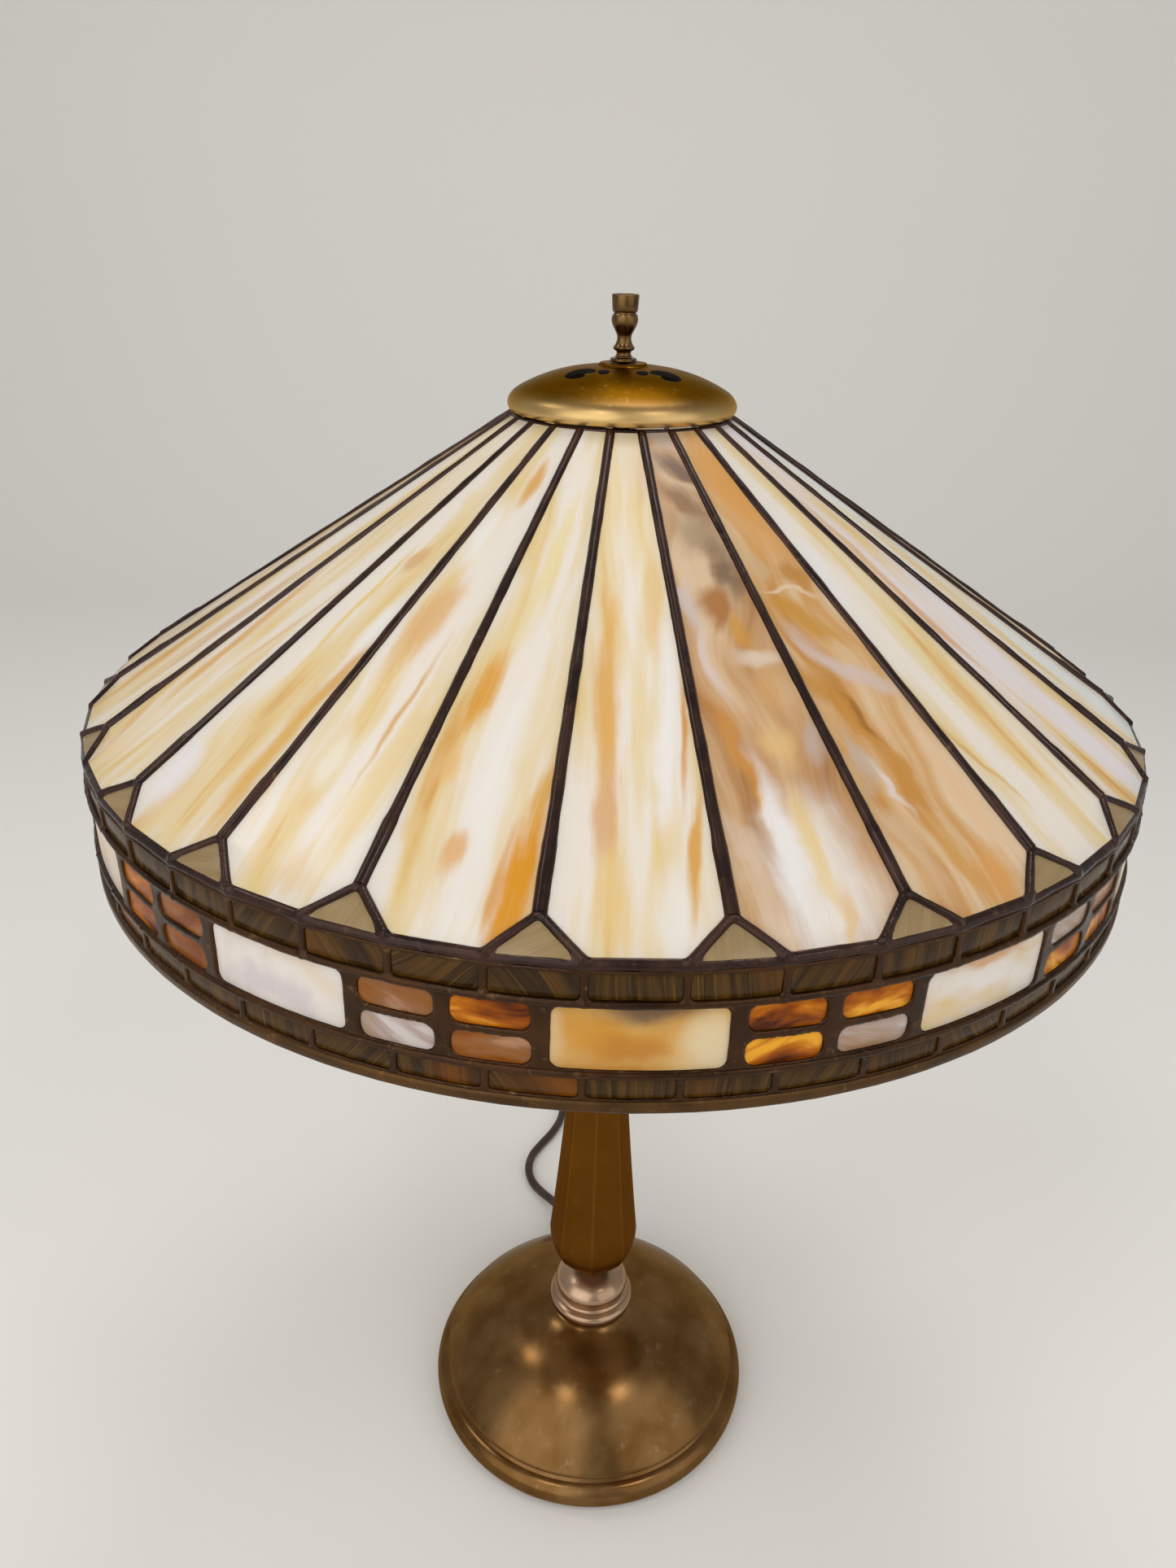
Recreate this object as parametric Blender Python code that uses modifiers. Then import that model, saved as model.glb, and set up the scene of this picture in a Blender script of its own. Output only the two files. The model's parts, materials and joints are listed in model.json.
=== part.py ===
"""Stained glass table lamp: a faceted cone shade with a vertical skirt, on a turned base with an
eight-sided column. Metres, +Z up. The origin is on the lamp's axis, on the ground. The viewer in front
of the lamp stands on -Y, with +X on the right."""

import math

import bmesh
import bpy
from mathutils import Matrix, Vector

MM = 0.001

# Clearance between pieces that touch, and between a thread or shaft and its hole
GAP = 0.3 * MM

# Chamfer on turned brass edges
EDGE = 0.4 * MM

# Shade glass
PANEL_COUNT = 24
SHADE_RADIUS = 228.6 * MM          # to the corners of the crease
APERTURE_RADIUS = 46.0 * MM        # top edge of the cone, on a rib
CONE_SLOPE = 0.65                  # rise of a panel for each unit towards the axis
FIRST_RIB_ANGLE = -20.0            # degrees from the front, towards +X
CORNER_HALF_ANGLE = 3.75           # degrees from a rib to the end of its corner triangle
CORNER_DEPTH = 11.2 * MM           # radial depth of a corner triangle
GLASS_THICKNESS = 3.0 * MM
CAME_WIDTH = 4.4 * MM
CAME_PROUD = 1.2 * MM              # stands out of the glass on each side
RIB_CUT_RISE = 14.0 * MM           # the ribs end this far above the crease, on the corner band

# Skirt rows, from the crease down
UPPER_ROW_HEIGHT = 9.8 * MM
UPPER_CAME_HEIGHT = 1.3 * MM
PLAQUE_HEIGHT = 23.9 * MM
LOWER_CAME_HEIGHT = 1.9 * MM
LOWER_ROW_HEIGHT = 8.1 * MM
RIM_HEIGHT = 4.5 * MM
RIM_PROUD = 1.8 * MM

# Shade fittings
RING_DROP = 7.8 * MM               # underside of the top ring below the cone's top edge
RING_HEIGHT = 4.0 * MM
RING_INNER_RADIUS = 39.5 * MM
SPIDER_THICKNESS = 2.3 * MM
SPIDER_HUB_RADIUS = 14.0 * MM
SPIDER_ARM_WIDTH = 9.0 * MM
SPIDER_ARM_COUNT = 3
SHADE_WASHER_RADIUS = 12.0 * MM
SHADE_WASHER_THICKNESS = 1.5 * MM
SEAT_NUT_RADIUS = 10.0 * MM
SEAT_NUT_HEIGHT = 5.9 * MM

# Heat cap and finial
CAP_RADIUS = 47.9 * MM
CAP_HEIGHT = 19.0 * MM             # underside of the rim to the top of the boss
CAP_PLATE = 2.3 * MM               # metal at the centre
CAP_WALL = 1.8 * MM
CAP_CURL = 0.4 * MM                # the rim turns in by this much
CAP_RIM_HEIGHT = 6.0 * MM          # steep part above the rim's edge
CAP_CROWN_DROP = 0.9 * MM          # crown of the dome below the top of the boss
CAP_DOME_POWER = 2.6
CAP_BOSS_RADIUS = 10.9 * MM
VENT_PAIRS = 2
VENT_START = (19.5 * MM, 13.0)     # radius and degrees of the vent's small end
VENT_END = (25.0 * MM, 60.0)
VENT_HALF_WIDTH = 5.6 * MM
FINIAL_WASHER_RADIUS = 5.5 * MM
FINIAL_WASHER_THICKNESS = 1.5 * MM
FINIAL_HEIGHT = 23.9 * MM
FINIAL_RADIUS = 5.56 * MM
STUD_RADIUS = 2.4 * MM
THREAD_PITCH = 25.4 * MM / 27
STUD_TURNS = 5

# Base
FELT_RADIUS = 90.0 * MM
FELT_THICKNESS = 2.0 * MM
BASE_RADIUS = 96.1 * MM
BASE_HEIGHT = 63.9 * MM
BULLNOSE_RADIUS = 8.2 * MM
DOME_RADIUS = 89.2 * MM
DOME_EDGE_HEIGHT = 21.6 * MM       # dome edge above the underside of the base
BASE_TOP_RADIUS = 24.9 * MM
BASE_SEAT_HEIGHT = 0.6 * MM        # step under the neck collar
BASE_GROOVE = 1.6 * MM             # height of each half of the groove above the bullnose
BASE_WALL = 3.0 * MM
BELL_MIX = 0.88                    # share of the round shoulder in the dome's bell curve
BELL_ROUND_POWER = 2.0
BELL_FLARE_POWER = 10.0            # the cove under the collar
WEIGHT_HEIGHT = 17.0 * MM
WEIGHT_CHAMFER = 3.0 * MM
WEIGHT_BOSS_RADIUS = 18.0 * MM
NUT_RECESS_RADIUS = 14.0 * MM
NUT_RECESS_HEIGHT = 22.0 * MM
LOCKNUT_RADIUS = 9.0 * MM
LOCKNUT_HEIGHT = 5.5 * MM
LEAD_SLOT_WIDTH = 9.0 * MM
LEAD_SLOT_HEIGHT = 12.0 * MM

# Collar, column and pipe
COLLAR_HEIGHT = 25.1 * MM
COLLAR_RINGS = ((25.2 * MM, 6.5 * MM), (22.9 * MM, 4.5 * MM))  # radius and height, the lower ring first
COLLAR_SHOULDER_RADIUS = 20.3 * MM  # foot of the dome above the rings
COLLAR_DOME_RADIUS = 21.6 * MM
COLLAR_DOME_LEVEL = 3.5 * MM       # widest part of the dome above the rings
COLUMN_SIDES = 8
COLUMN_HEIGHT = 293.1 * MM
COLUMN_NECK_RADIUS = 8.9 * MM
COLUMN_BULB_RADIUS = 25.9 * MM
COLUMN_TOP_RADIUS = 10.0 * MM
COLUMN_NECK_HEIGHT = 3.4 * MM
COLUMN_BULB_HEIGHT = 32.4 * MM     # where the bulb ends and the long taper starts
COLUMN_BELT_HEIGHT = 6.0 * MM      # straight part at the top of the bulb
COLUMN_FLARE_POWER = 0.85
COLUMN_TAPER_POWER = 1.65
COLUMN_WALL = 3.2 * MM
PIPE_RADIUS = 4.85 * MM
PIPE_BORE_RADIUS = 3.3 * MM
PIPE_THREAD_BELOW_NUT = 2.0 * MM
PIPE_IN_CLUSTER = 14.0 * MM
LEAD_RADIUS = 1.6 * MM
LEAD_LEVEL = 9.2 * MM
LEAD_BEND_RADIUS = 8.0 * MM

# Socket cluster
CLUSTER_HEIGHT = 38.7 * MM
CLUSTER_RADIUS = 15.0 * MM
CLUSTER_SHOULDER = (6.0 * MM, 5.0 * MM)  # width and height of its sloped top edge
CUP_WALL = 2.0 * MM
CUP_HEIGHT = 6.0 * MM
ROD_SOCKET_DEPTH = 10.0 * MM
ARM_RISE = 26.5 * MM               # arm axes meet this far above the cluster's underside
ARM_TILT = 25.0                    # degrees above the horizontal
ARM_RADIUS = 6.0 * MM
ARM_LENGTH = 33.7 * MM
SOCKET_WALL = 2.4 * MM
SOCKET_LENGTH = 58.0 * MM
SOCKET_CAP_LENGTH = 24.0 * MM      # solid end that holds the switch
SOCKET_BEAD = 1.0 * MM             # the bead where cap and shell meet stands out by this much
SOCKET_BEAD_HEIGHT = 4.0 * MM
SOCKET_CAP_TAPER = (1.5 * MM, 6.0 * MM)  # the cap's drawn-in lower part
SOCKET_FOOT_WALL = 3.0 * MM        # round the arm's end
KEY_OFFSET = 13.0 * MM             # key shaft from the socket's cap end
KEY_SHAFT_RADIUS = 2.2 * MM
KEY_SHAFT_DEPTH = 8.0 * MM
KEY_STANDOUT = 9.0 * MM
KEY_PADDLE = (4.0 * MM, 8.0 * MM, 13.0 * MM)
BULB_BASE_RADIUS = 13.2 * MM
BULB_CONTACT = (8.0 * MM, 5.0 * MM)  # width and height of the taper to the foot contact
BULB_NECK = (1.5 * MM, 6.0 * MM)   # first swell of the neck above the socket
BULB_RADIUS = 30.0 * MM
BULB_SHOULDER = ((0.93, 10.0 * MM), (0.72, 24.0 * MM))  # share of the radius, below the ball's centre
BULB_LENGTH = 110.0 * MM
ROD_LENGTH = 194.9 * MM
ROD_RADIUS = 4.0 * MM
ROD_BORE_DEPTH = 12.0 * MM

# Cord
CORD_RADIUS = 3.0 * MM
CORD_EXIT_ANGLE = 12.0             # degrees from +Y towards -X
CORD_EXIT_LEVEL = 9.5 * MM
RELIEF_STEM_RADIUS = 4.7 * MM
RELIEF_COLLAR_RADIUS = 6.2 * MM
RELIEF_COLLAR_LENGTH = 3.5 * MM
RELIEF_CHAMFER = 1.0 * MM
RELIEF_TIP_RADIUS = 3.8 * MM
RELIEF_LENGTH = 21.5 * MM          # outside the base
COIL_CENTRE = (17.0 * MM, 300.0 * MM)
COIL_TURNS = 7.25
COIL_INNER_RADIUS = 21.0 * MM
COIL_PITCH = 6.6 * MM
COIL_LAYER = 6.6 * MM
COIL_LEAD_OUT = 44.0 * MM
COIL_POINTS_PER_TURN = 24
TIE_WIDTH = 9.0 * MM
TIE_THICKNESS = 1.0 * MM
TIE_CLEARANCE = 0.5 * MM
TIE_CORNER = 1.0 * MM
PLUG_SIZE = (28.0 * MM, 20.0 * MM, 17.0 * MM)
BLADE_SIZE = (17.0 * MM, 1.5 * MM, 6.3 * MM)
BLADE_SPACING = 12.7 * MM
BLADE_ROOT = 1.0 * MM              # length of a blade inside the plug
PLUG_ROUNDING = 2.5 * MM

# Levels, stacked up from the ground
base_bottom = FELT_THICKNESS + GAP
base_top = base_bottom + BASE_HEIGHT
collar_bottom = base_top + GAP
collar_top = collar_bottom + COLLAR_HEIGHT
column_bottom = collar_top + GAP
column_top = column_bottom + COLUMN_HEIGHT
cluster_bottom = column_top + GAP
cluster_top = cluster_bottom + CLUSTER_HEIGHT
rod_bottom = cluster_top - ROD_SOCKET_DEPTH + GAP
rod_top = rod_bottom + ROD_LENGTH
cap_top = rod_top + GAP + CAP_PLATE
cap_rim_bottom = cap_top - CAP_HEIGHT
finial_washer_bottom = cap_top + GAP
finial_bottom = finial_washer_bottom + FINIAL_WASHER_THICKNESS + GAP

# The cone, whose top came edge carries the heat cap
half_step = math.radians(180.0 / PANEL_COUNT)
corner_half = math.radians(CORNER_HALF_ANGLE)
slope_length = math.hypot(1.0, CONE_SLOPE)
came_edge_radius = APERTURE_RADIUS + CAME_PROUD * CONE_SLOPE / slope_length
rim_overhang = max(0.0, CAP_RADIUS - CAP_CURL - CAP_WALL - came_edge_radius)
cone_top = cap_rim_bottom - GAP - CAME_PROUD / slope_length + CONE_SLOPE * rim_overhang
crease_drop = SHADE_RADIUS * math.cos(half_step - corner_half) - APERTURE_RADIUS * math.cos(half_step)
crease_level = cone_top - CONE_SLOPE * crease_drop
came_depth = GLASS_THICKNESS + 2 * CAME_PROUD
ring_bottom = cone_top - RING_DROP
spider_top = ring_bottom - GAP
spider_bottom = spider_top - SPIDER_THICKNESS
shade_washer_bottom = spider_bottom - GAP - SHADE_WASHER_THICKNESS
seat_nut_bottom = shade_washer_bottom - GAP - SEAT_NUT_HEIGHT

# The cord's way out of the base, and where its relief ends
exit_turn = math.radians(CORD_EXIT_ANGLE)
exit_way = Vector((-math.sin(exit_turn), math.cos(exit_turn), 0.0))
relief_start = BASE_RADIUS - BULLNOSE_RADIUS - BASE_WALL + GAP
relief_seat = BASE_RADIUS + GAP
relief_end = relief_seat + RELIEF_LENGTH
tie_bed = TIE_THICKNESS + 2 * GAP
coil_level = CORD_RADIUS + tie_bed + TIE_CLEARANCE

for old in list(bpy.data.objects):
    bpy.data.objects.remove(old, do_unlink=True)

parts = bpy.data.collections.new("stained_glass_table_lamp")
cutters = bpy.data.collections.new("cutters")
bpy.context.scene.collection.children.link(parts)
bpy.context.scene.collection.children.link(cutters)


def finish(name, colour, roughness, metallic):
    """A Principled material with one colour."""
    material = bpy.data.materials.new(name)
    material.use_nodes = True
    shader = material.node_tree.nodes["Principled BSDF"]
    shader.inputs["Base Color"].default_value = (*colour, 1.0)
    shader.inputs["Roughness"].default_value = roughness
    shader.inputs["Metallic"].default_value = metallic
    return material


came_metal = finish("dark_came", (0.028, 0.016, 0.011), 0.45, 0.6)
cream_glass = finish("cream_glass", (0.85, 0.74, 0.52), 0.2, 0.0)
amber_glass = finish("amber_glass", (0.72, 0.36, 0.08), 0.2, 0.0)
border_glass = finish("border_glass", (0.12, 0.08, 0.045), 0.25, 0.0)
plaque_glass = finish("plaque_glass", (0.83, 0.62, 0.38), 0.25, 0.0)
aged_brass = finish("aged_brass", (0.39, 0.24, 0.06), 0.35, 1.0)
steel = finish("plated_steel", (0.45, 0.44, 0.42), 0.4, 1.0)
bronze = finish("dark_bronze", (0.10, 0.06, 0.02), 0.35, 0.9)
column_bronze = finish("brown_bronze", (0.13, 0.065, 0.015), 0.4, 0.8)
iron = finish("cast_iron", (0.06, 0.06, 0.06), 0.8, 0.6)
felt = finish("brown_felt", (0.07, 0.045, 0.03), 0.95, 0.0)
black_plastic = finish("dark_plastic", (0.03, 0.02, 0.018), 0.5, 0.0)
bulb_glass = finish("bulb_glass", (0.9, 0.88, 0.82), 0.3, 0.0)
cord_cover = finish("cord_cover", (0.045, 0.018, 0.012), 0.5, 0.0)


def add(name, data, material, collection=parts):
    """Links one named object that holds the data."""
    thing = bpy.data.objects.new(name, data)
    collection.objects.link(thing)
    data.materials.append(material)
    return thing


def turned(name, profile, material, steps, turn=0.0):
    """A profile of (radius, height) points turned about Z. It runs down the outer side."""
    mesh = bpy.data.meshes.new(name)
    closed = profile[0][0] > 0.0
    points = [(radius, 0.0, height) for radius, height in profile]
    edges = [(i, i + 1) for i in range(len(points) - 1)]
    if closed:
        edges.append((len(points) - 1, 0))
    mesh.from_pydata(points, edges, [])
    thing = add(name, mesh, material)
    thing.rotation_euler.z = math.radians(turn)
    screw = thing.modifiers.new("turn", "SCREW")
    screw.steps = steps
    screw.render_steps = steps
    screw.use_merge_vertices = True
    screw.merge_threshold = 0.00001
    return thing


def arc(centre, radius, start, stop, count):
    """Points on a circle between two angles in degrees, in the profile's plane."""
    points = []
    for i in range(count + 1):
        angle = math.radians(start + (stop - start) * i / count)
        points.append((centre[0] + radius * math.cos(angle), centre[1] + radius * math.sin(angle)))
    return points


def ring_row(name, top, height, outer, inner, material):
    """One row of the skirt: a ring with a flat side for each brick."""
    profile = [(outer, top), (outer, top - height), (inner, top - height), (inner, top)]
    return turned(name, profile, material, 2 * PANEL_COUNT, skirt_turn)


def hide_cutter(cutter):
    """Marks an object as a cutter."""
    cutter.hide_render = True
    cutter.display_type = "WIRE"


def cut(target, cutter, operation="DIFFERENCE"):
    """Adds one Boolean with a cutter."""
    boolean = target.modifiers.new(cutter.name, "BOOLEAN")
    boolean.operation = operation
    boolean.object = cutter


def solid_bar(name, radius, length, place, collection, material, vertices=16):
    """A closed cylinder whose axis and centre come from the matrix."""
    mesh = bpy.data.meshes.new(name)
    shape = bmesh.new()
    bmesh.ops.create_cone(
        shape, cap_ends=True, segments=vertices, radius1=radius, radius2=radius, depth=length
    )
    shape.to_mesh(mesh)
    shape.free()
    bar = add(name, mesh, material, collection)
    bar.matrix_world = place
    if collection is cutters:
        hide_cutter(bar)
    return bar


def solid_box(name, size, place, collection, material):
    """A closed box whose axes and centre come from the matrix."""
    mesh = bpy.data.meshes.new(name)
    shape = bmesh.new()
    bmesh.ops.create_cube(shape, size=1.0, matrix=Matrix.Diagonal((*size, 1.0)))
    shape.to_mesh(mesh)
    shape.free()
    box = add(name, mesh, material, collection)
    box.matrix_world = place
    if collection is cutters:
        hide_cutter(box)
    return box


def outline_curve(name, outlines, thickness, material, collection):
    """A flat plate in the XY plane, from one outline and any holes in it."""
    curve = bpy.data.curves.new(name, "CURVE")
    curve.dimensions = "2D"
    curve.fill_mode = "BOTH"
    curve.extrude = thickness / 2
    for outline in outlines:
        spline = curve.splines.new("POLY")
        spline.points.add(len(outline) - 1)
        spline.use_cyclic_u = True
        for point, (x, y) in zip(spline.points, outline):
            point.co = (x, y, 0.0, 1.0)
    return add(name, curve, material, collection)


def as_mesh(curve_object):
    """Turns a filled curve into a closed mesh object of the same name, so that it can cut or be cut."""
    name = curve_object.name
    place = curve_object.matrix_world.copy()
    collection = curve_object.users_collection[0]
    bpy.context.view_layer.update()
    evaluated = curve_object.evaluated_get(bpy.context.evaluated_depsgraph_get())
    mesh = bpy.data.meshes.new_from_object(evaluated)
    bpy.data.objects.remove(curve_object, do_unlink=True)
    shape = bmesh.new()
    shape.from_mesh(mesh)
    bmesh.ops.remove_doubles(shape, verts=shape.verts, dist=0.00001)
    shape.to_mesh(mesh)
    shape.free()
    thing = bpy.data.objects.new(name, mesh)
    collection.objects.link(thing)
    thing.matrix_world = place
    return thing


def tube(name, points, radius, resolution, material):
    """A round tube with closed ends along a list of points."""
    curve = bpy.data.curves.new(name, "CURVE")
    curve.dimensions = "3D"
    curve.bevel_depth = radius
    curve.bevel_resolution = resolution
    curve.use_fill_caps = True
    spline = curve.splines.new("POLY")
    spline.points.add(len(points) - 1)
    for point, place in zip(spline.points, points):
        point.co = (*place, 1.0)
    return add(name, curve, material)


# Cone: panels, corner triangles and came from one reference surface
def rib_angle(index):
    """Angle of a rib about Z, from +X."""
    return math.radians(FIRST_RIB_ANGLE - 90.0 + index * 360.0 / PANEL_COUNT)


def ring_point(radius, angle, height):
    return Vector((radius * math.cos(angle), radius * math.sin(angle), height))


def panel_height(rib_radius):
    """Height of a panel's plane where its rib is at this radius."""
    return cone_top - CONE_SLOPE * math.cos(half_step) * (rib_radius - APERTURE_RADIUS)


def cone_surface():
    """Reference surface: a six-sided panel between each two ribs, and a triangle below each rib."""
    surface = bmesh.new()
    apex_radius = SHADE_RADIUS - CORNER_DEPTH
    tops, apexes, lefts, rights = [], [], [], []
    for i in range(PANEL_COUNT):
        angle = rib_angle(i)
        tops.append(surface.verts.new(ring_point(APERTURE_RADIUS, angle, cone_top)))
        apexes.append(surface.verts.new(ring_point(apex_radius, angle, panel_height(apex_radius))))
        lefts.append(surface.verts.new(ring_point(SHADE_RADIUS, angle - corner_half, crease_level)))
        rights.append(surface.verts.new(ring_point(SHADE_RADIUS, angle + corner_half, crease_level)))
    panels, triangles = [], []
    for i in range(PANEL_COUNT):
        j = (i + 1) % PANEL_COUNT
        corners = (tops[i], apexes[i], rights[i], lefts[j], apexes[j], tops[j])
        panels.append(surface.faces.new(corners))
        triangles.append(surface.faces.new((apexes[i], lefts[i], rights[i])))
    surface.normal_update()
    return surface, panels, triangles


def thicken(thing, thickness, proud):
    """Gives a surface its thickness, with some of it outside the surface."""
    solidify = thing.modifiers.new("thickness", "SOLIDIFY")
    solidify.thickness = thickness
    solidify.offset = 2.0 * proud / thickness - 1.0
    solidify.use_even_offset = True
    solidify.use_quality_normals = True


def lattice(name, keep_above):
    """The came lattice above or below the level where the ribs meet the corner band."""
    surface, panels, _ = cone_surface()
    bmesh.ops.inset_individual(surface, faces=panels, thickness=CAME_WIDTH / 2, use_even_offset=True)
    bmesh.ops.delete(surface, geom=panels, context="FACES")
    cut_level = crease_level + RIB_CUT_RISE + (GAP / 2 if keep_above else -GAP / 2)
    geometry = surface.verts[:] + surface.edges[:] + surface.faces[:]
    bmesh.ops.bisect_plane(
        surface,
        geom=geometry,
        dist=0.000001,
        plane_co=(0.0, 0.0, cut_level),
        plane_no=(0.0, 0.0, 1.0),
        clear_outer=not keep_above,
        clear_inner=keep_above,
    )
    mesh = bpy.data.meshes.new(name)
    surface.to_mesh(mesh)
    surface.free()
    thing = add(name, mesh, came_metal)
    thicken(thing, came_depth, CAME_PROUD)


def cone_panels():
    """One flat plate of glass for each panel, inside the came."""
    surface, panels, triangles = cone_surface()
    bmesh.ops.delete(surface, geom=triangles, context="FACES")
    inset = CAME_WIDTH / 2 + GAP
    bmesh.ops.inset_individual(surface, faces=panels, thickness=inset, use_even_offset=True)
    outlines = [[vert.co.copy() for vert in panel.verts] for panel in panels]
    surface.free()
    for i, outline in enumerate(outlines):
        name = f"cone_panel_{i + 1:02d}"
        mesh = bpy.data.meshes.new(name)
        mesh.from_pydata(outline, [], [list(range(len(outline)))])
        plate = add(name, mesh, cream_glass)
        thicken(plate, GLASS_THICKNESS, 0.0)


lattice("cone_came", True)
lattice("corner_band", False)
cone_panels()

# Skirt rows
skirt_turn = FIRST_RIB_ANGLE - 90.0 + CORNER_HALF_ANGLE
glass_inner = SHADE_RADIUS - GLASS_THICKNESS
came_outer = SHADE_RADIUS + CAME_PROUD
came_inner = glass_inner - CAME_PROUD
upper_row_top = crease_level - (came_depth - CAME_PROUD) / slope_length - GAP
upper_came_top = upper_row_top - UPPER_ROW_HEIGHT - GAP
plaque_top = upper_came_top - UPPER_CAME_HEIGHT - GAP
lower_came_top = plaque_top - PLAQUE_HEIGHT - GAP
lower_row_top = lower_came_top - LOWER_CAME_HEIGHT - GAP
rim_top = lower_row_top - LOWER_ROW_HEIGHT - GAP
ring_row("upper_brick_row", upper_row_top, UPPER_ROW_HEIGHT, SHADE_RADIUS, glass_inner, border_glass)
ring_row("upper_band_came", upper_came_top, UPPER_CAME_HEIGHT, came_outer, came_inner, came_metal)
ring_row("plaque_band", plaque_top, PLAQUE_HEIGHT, SHADE_RADIUS, glass_inner, plaque_glass)
ring_row("lower_band_came", lower_came_top, LOWER_CAME_HEIGHT, came_outer, came_inner, came_metal)
ring_row("lower_brick_row", lower_row_top, LOWER_ROW_HEIGHT, SHADE_RADIUS, glass_inner, border_glass)
ring_row("rim_channel", rim_top, RIM_HEIGHT, SHADE_RADIUS + RIM_PROUD, glass_inner - RIM_PROUD, came_metal)


# Top ring and spider
def cone_inside_radius(height):
    """Rib radius of the came's inner side at a height, less the clearance."""
    drop = (came_depth - CAME_PROUD + GAP) * slope_length
    return APERTURE_RADIUS + (cone_top - drop - height) / (CONE_SLOPE * math.cos(half_step))


ring_top = ring_bottom + RING_HEIGHT
ring_profile = [
    (cone_inside_radius(ring_top), ring_top),
    (cone_inside_radius(ring_bottom), ring_bottom),
    (RING_INNER_RADIUS, ring_bottom),
    (RING_INNER_RADIUS, ring_top),
]
turned("top_ring", ring_profile, aged_brass, PANEL_COUNT, FIRST_RIB_ANGLE - 90.0)


def spider_outline():
    """Hub with straight arms that reach under the top ring."""
    reach = RING_INNER_RADIUS + SPIDER_ARM_WIDTH / 2
    half_width = SPIDER_ARM_WIDTH / 2
    spread = math.asin(half_width / SPIDER_HUB_RADIUS)
    hub_edge = SPIDER_HUB_RADIUS * math.cos(spread)
    outline = []
    for i in range(SPIDER_ARM_COUNT):
        angle = math.radians(FIRST_RIB_ANGLE - 90.0) + i * math.tau / SPIDER_ARM_COUNT
        turn = Matrix.Rotation(angle, 2)
        corners = ((hub_edge, -half_width), (reach, -half_width), (reach, half_width), (hub_edge, half_width))
        for x, y in corners:
            outline.append(tuple(turn @ Vector((x, y))))
        middle = Matrix.Rotation(angle + math.pi / SPIDER_ARM_COUNT, 2)
        outline.append(tuple(middle @ Vector((SPIDER_HUB_RADIUS, 0.0))))
    return outline


def circle_outline(radius, count):
    return arc((0.0, 0.0), radius, 0.0, 360.0, count)[:-1]


rod_hole = ROD_RADIUS + GAP
spider = outline_curve(
    "spider", [spider_outline(), circle_outline(rod_hole + GAP, 16)], SPIDER_THICKNESS, aged_brass, parts
)
spider.location.z = spider_bottom + SPIDER_THICKNESS / 2


def washer(name, radius, bore, bottom, height, material, steps):
    """A flat ring, or with six steps a nut."""
    top = bottom + height
    return turned(name, [(radius, top), (radius, bottom), (bore, bottom), (bore, top)], material, steps)


washer("shade_washer", SHADE_WASHER_RADIUS, rod_hole, shade_washer_bottom, SHADE_WASHER_THICKNESS, felt, 16)
nut_bore = rod_hole / math.cos(math.pi / 6)
washer("seat_nut", SEAT_NUT_RADIUS, nut_bore, seat_nut_bottom, SEAT_NUT_HEIGHT, aged_brass, 6)


# Heat cap: a shallow dome with a curled rim, a boss and pierced vents
def cap_dome(radius, wall):
    """Height of the cap's outer side, or of its inner side, at a radius."""
    crown = cap_top - CAP_CROWN_DROP - wall
    depth = CAP_HEIGHT - CAP_CROWN_DROP - CAP_RIM_HEIGHT
    return crown - depth * (radius / CAP_RADIUS) ** CAP_DOME_POWER


def cap_profile():
    dome_steps = 8
    dome_stations = []
    for i in range(1, dome_steps):
        share = 1.0 - (1.0 - i / dome_steps) ** 1.5
        dome_stations.append(CAP_BOSS_RADIUS + (CAP_RADIUS - CAP_BOSS_RADIUS) * share)
    stud_hole = STUD_RADIUS + 2 * GAP
    rim_radius = CAP_RADIUS - CAP_CURL
    profile = [(stud_hole, cap_top), (CAP_BOSS_RADIUS - EDGE, cap_top)]
    profile.append((CAP_BOSS_RADIUS, cap_dome(CAP_BOSS_RADIUS, 0.0)))
    profile += [(radius, cap_dome(radius, 0.0)) for radius in dome_stations]
    profile.append((CAP_RADIUS, cap_rim_bottom + CAP_RIM_HEIGHT))
    profile.append((rim_radius, cap_rim_bottom))
    profile.append((rim_radius - CAP_WALL, cap_rim_bottom))
    profile.append((CAP_RADIUS - CAP_WALL, cap_rim_bottom + CAP_RIM_HEIGHT))
    for radius in reversed(dome_stations):
        profile.append((radius - CAP_WALL / 2, cap_dome(radius, CAP_WALL)))
    profile.append((stud_hole, cap_top - CAP_PLATE))
    return profile


def vent_outline(mirror):
    """A small drop joined to a larger one along a line that curves out from the boss."""
    count = 7
    left, right = [], []
    for i in range(count + 1):
        share = i / count
        radius = VENT_START[0] + (VENT_END[0] - VENT_START[0]) * share ** 1.4
        angle = math.radians(VENT_START[1] + (VENT_END[1] - VENT_START[1]) * share)
        swell = 0.34 + 0.66 * math.sin(math.pi * share ** 1.6) ** 2
        half_width = VENT_HALF_WIDTH * swell * min(1.0, 4.0 * share + 0.25, 4.0 * (1.0 - share) + 0.25)
        way = Vector((math.cos(angle), mirror * math.sin(angle)))
        left.append(tuple(way * (radius - half_width)))
        right.append(tuple(way * (radius + half_width)))
    return left + right[::-1]


heat_cap = turned("heat_cap", cap_profile(), aged_brass, 28)
for pair in range(VENT_PAIRS):
    for mirror in (1.0, -1.0):
        side = "a" if mirror > 0 else "b"
        vent_plate = outline_curve(
            f"vent_{pair + 1}{side}", [vent_outline(mirror)], 2 * CAP_HEIGHT, aged_brass, cutters
        )
        vent_plate.rotation_euler.z = math.radians(-90.0 + pair * 360.0 / VENT_PAIRS)
        vent_plate.location.z = cap_top
        bpy.context.view_layer.update()
        vent_cutter = as_mesh(vent_plate)
        hide_cutter(vent_cutter)
        cut(heat_cap, vent_cutter)

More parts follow.
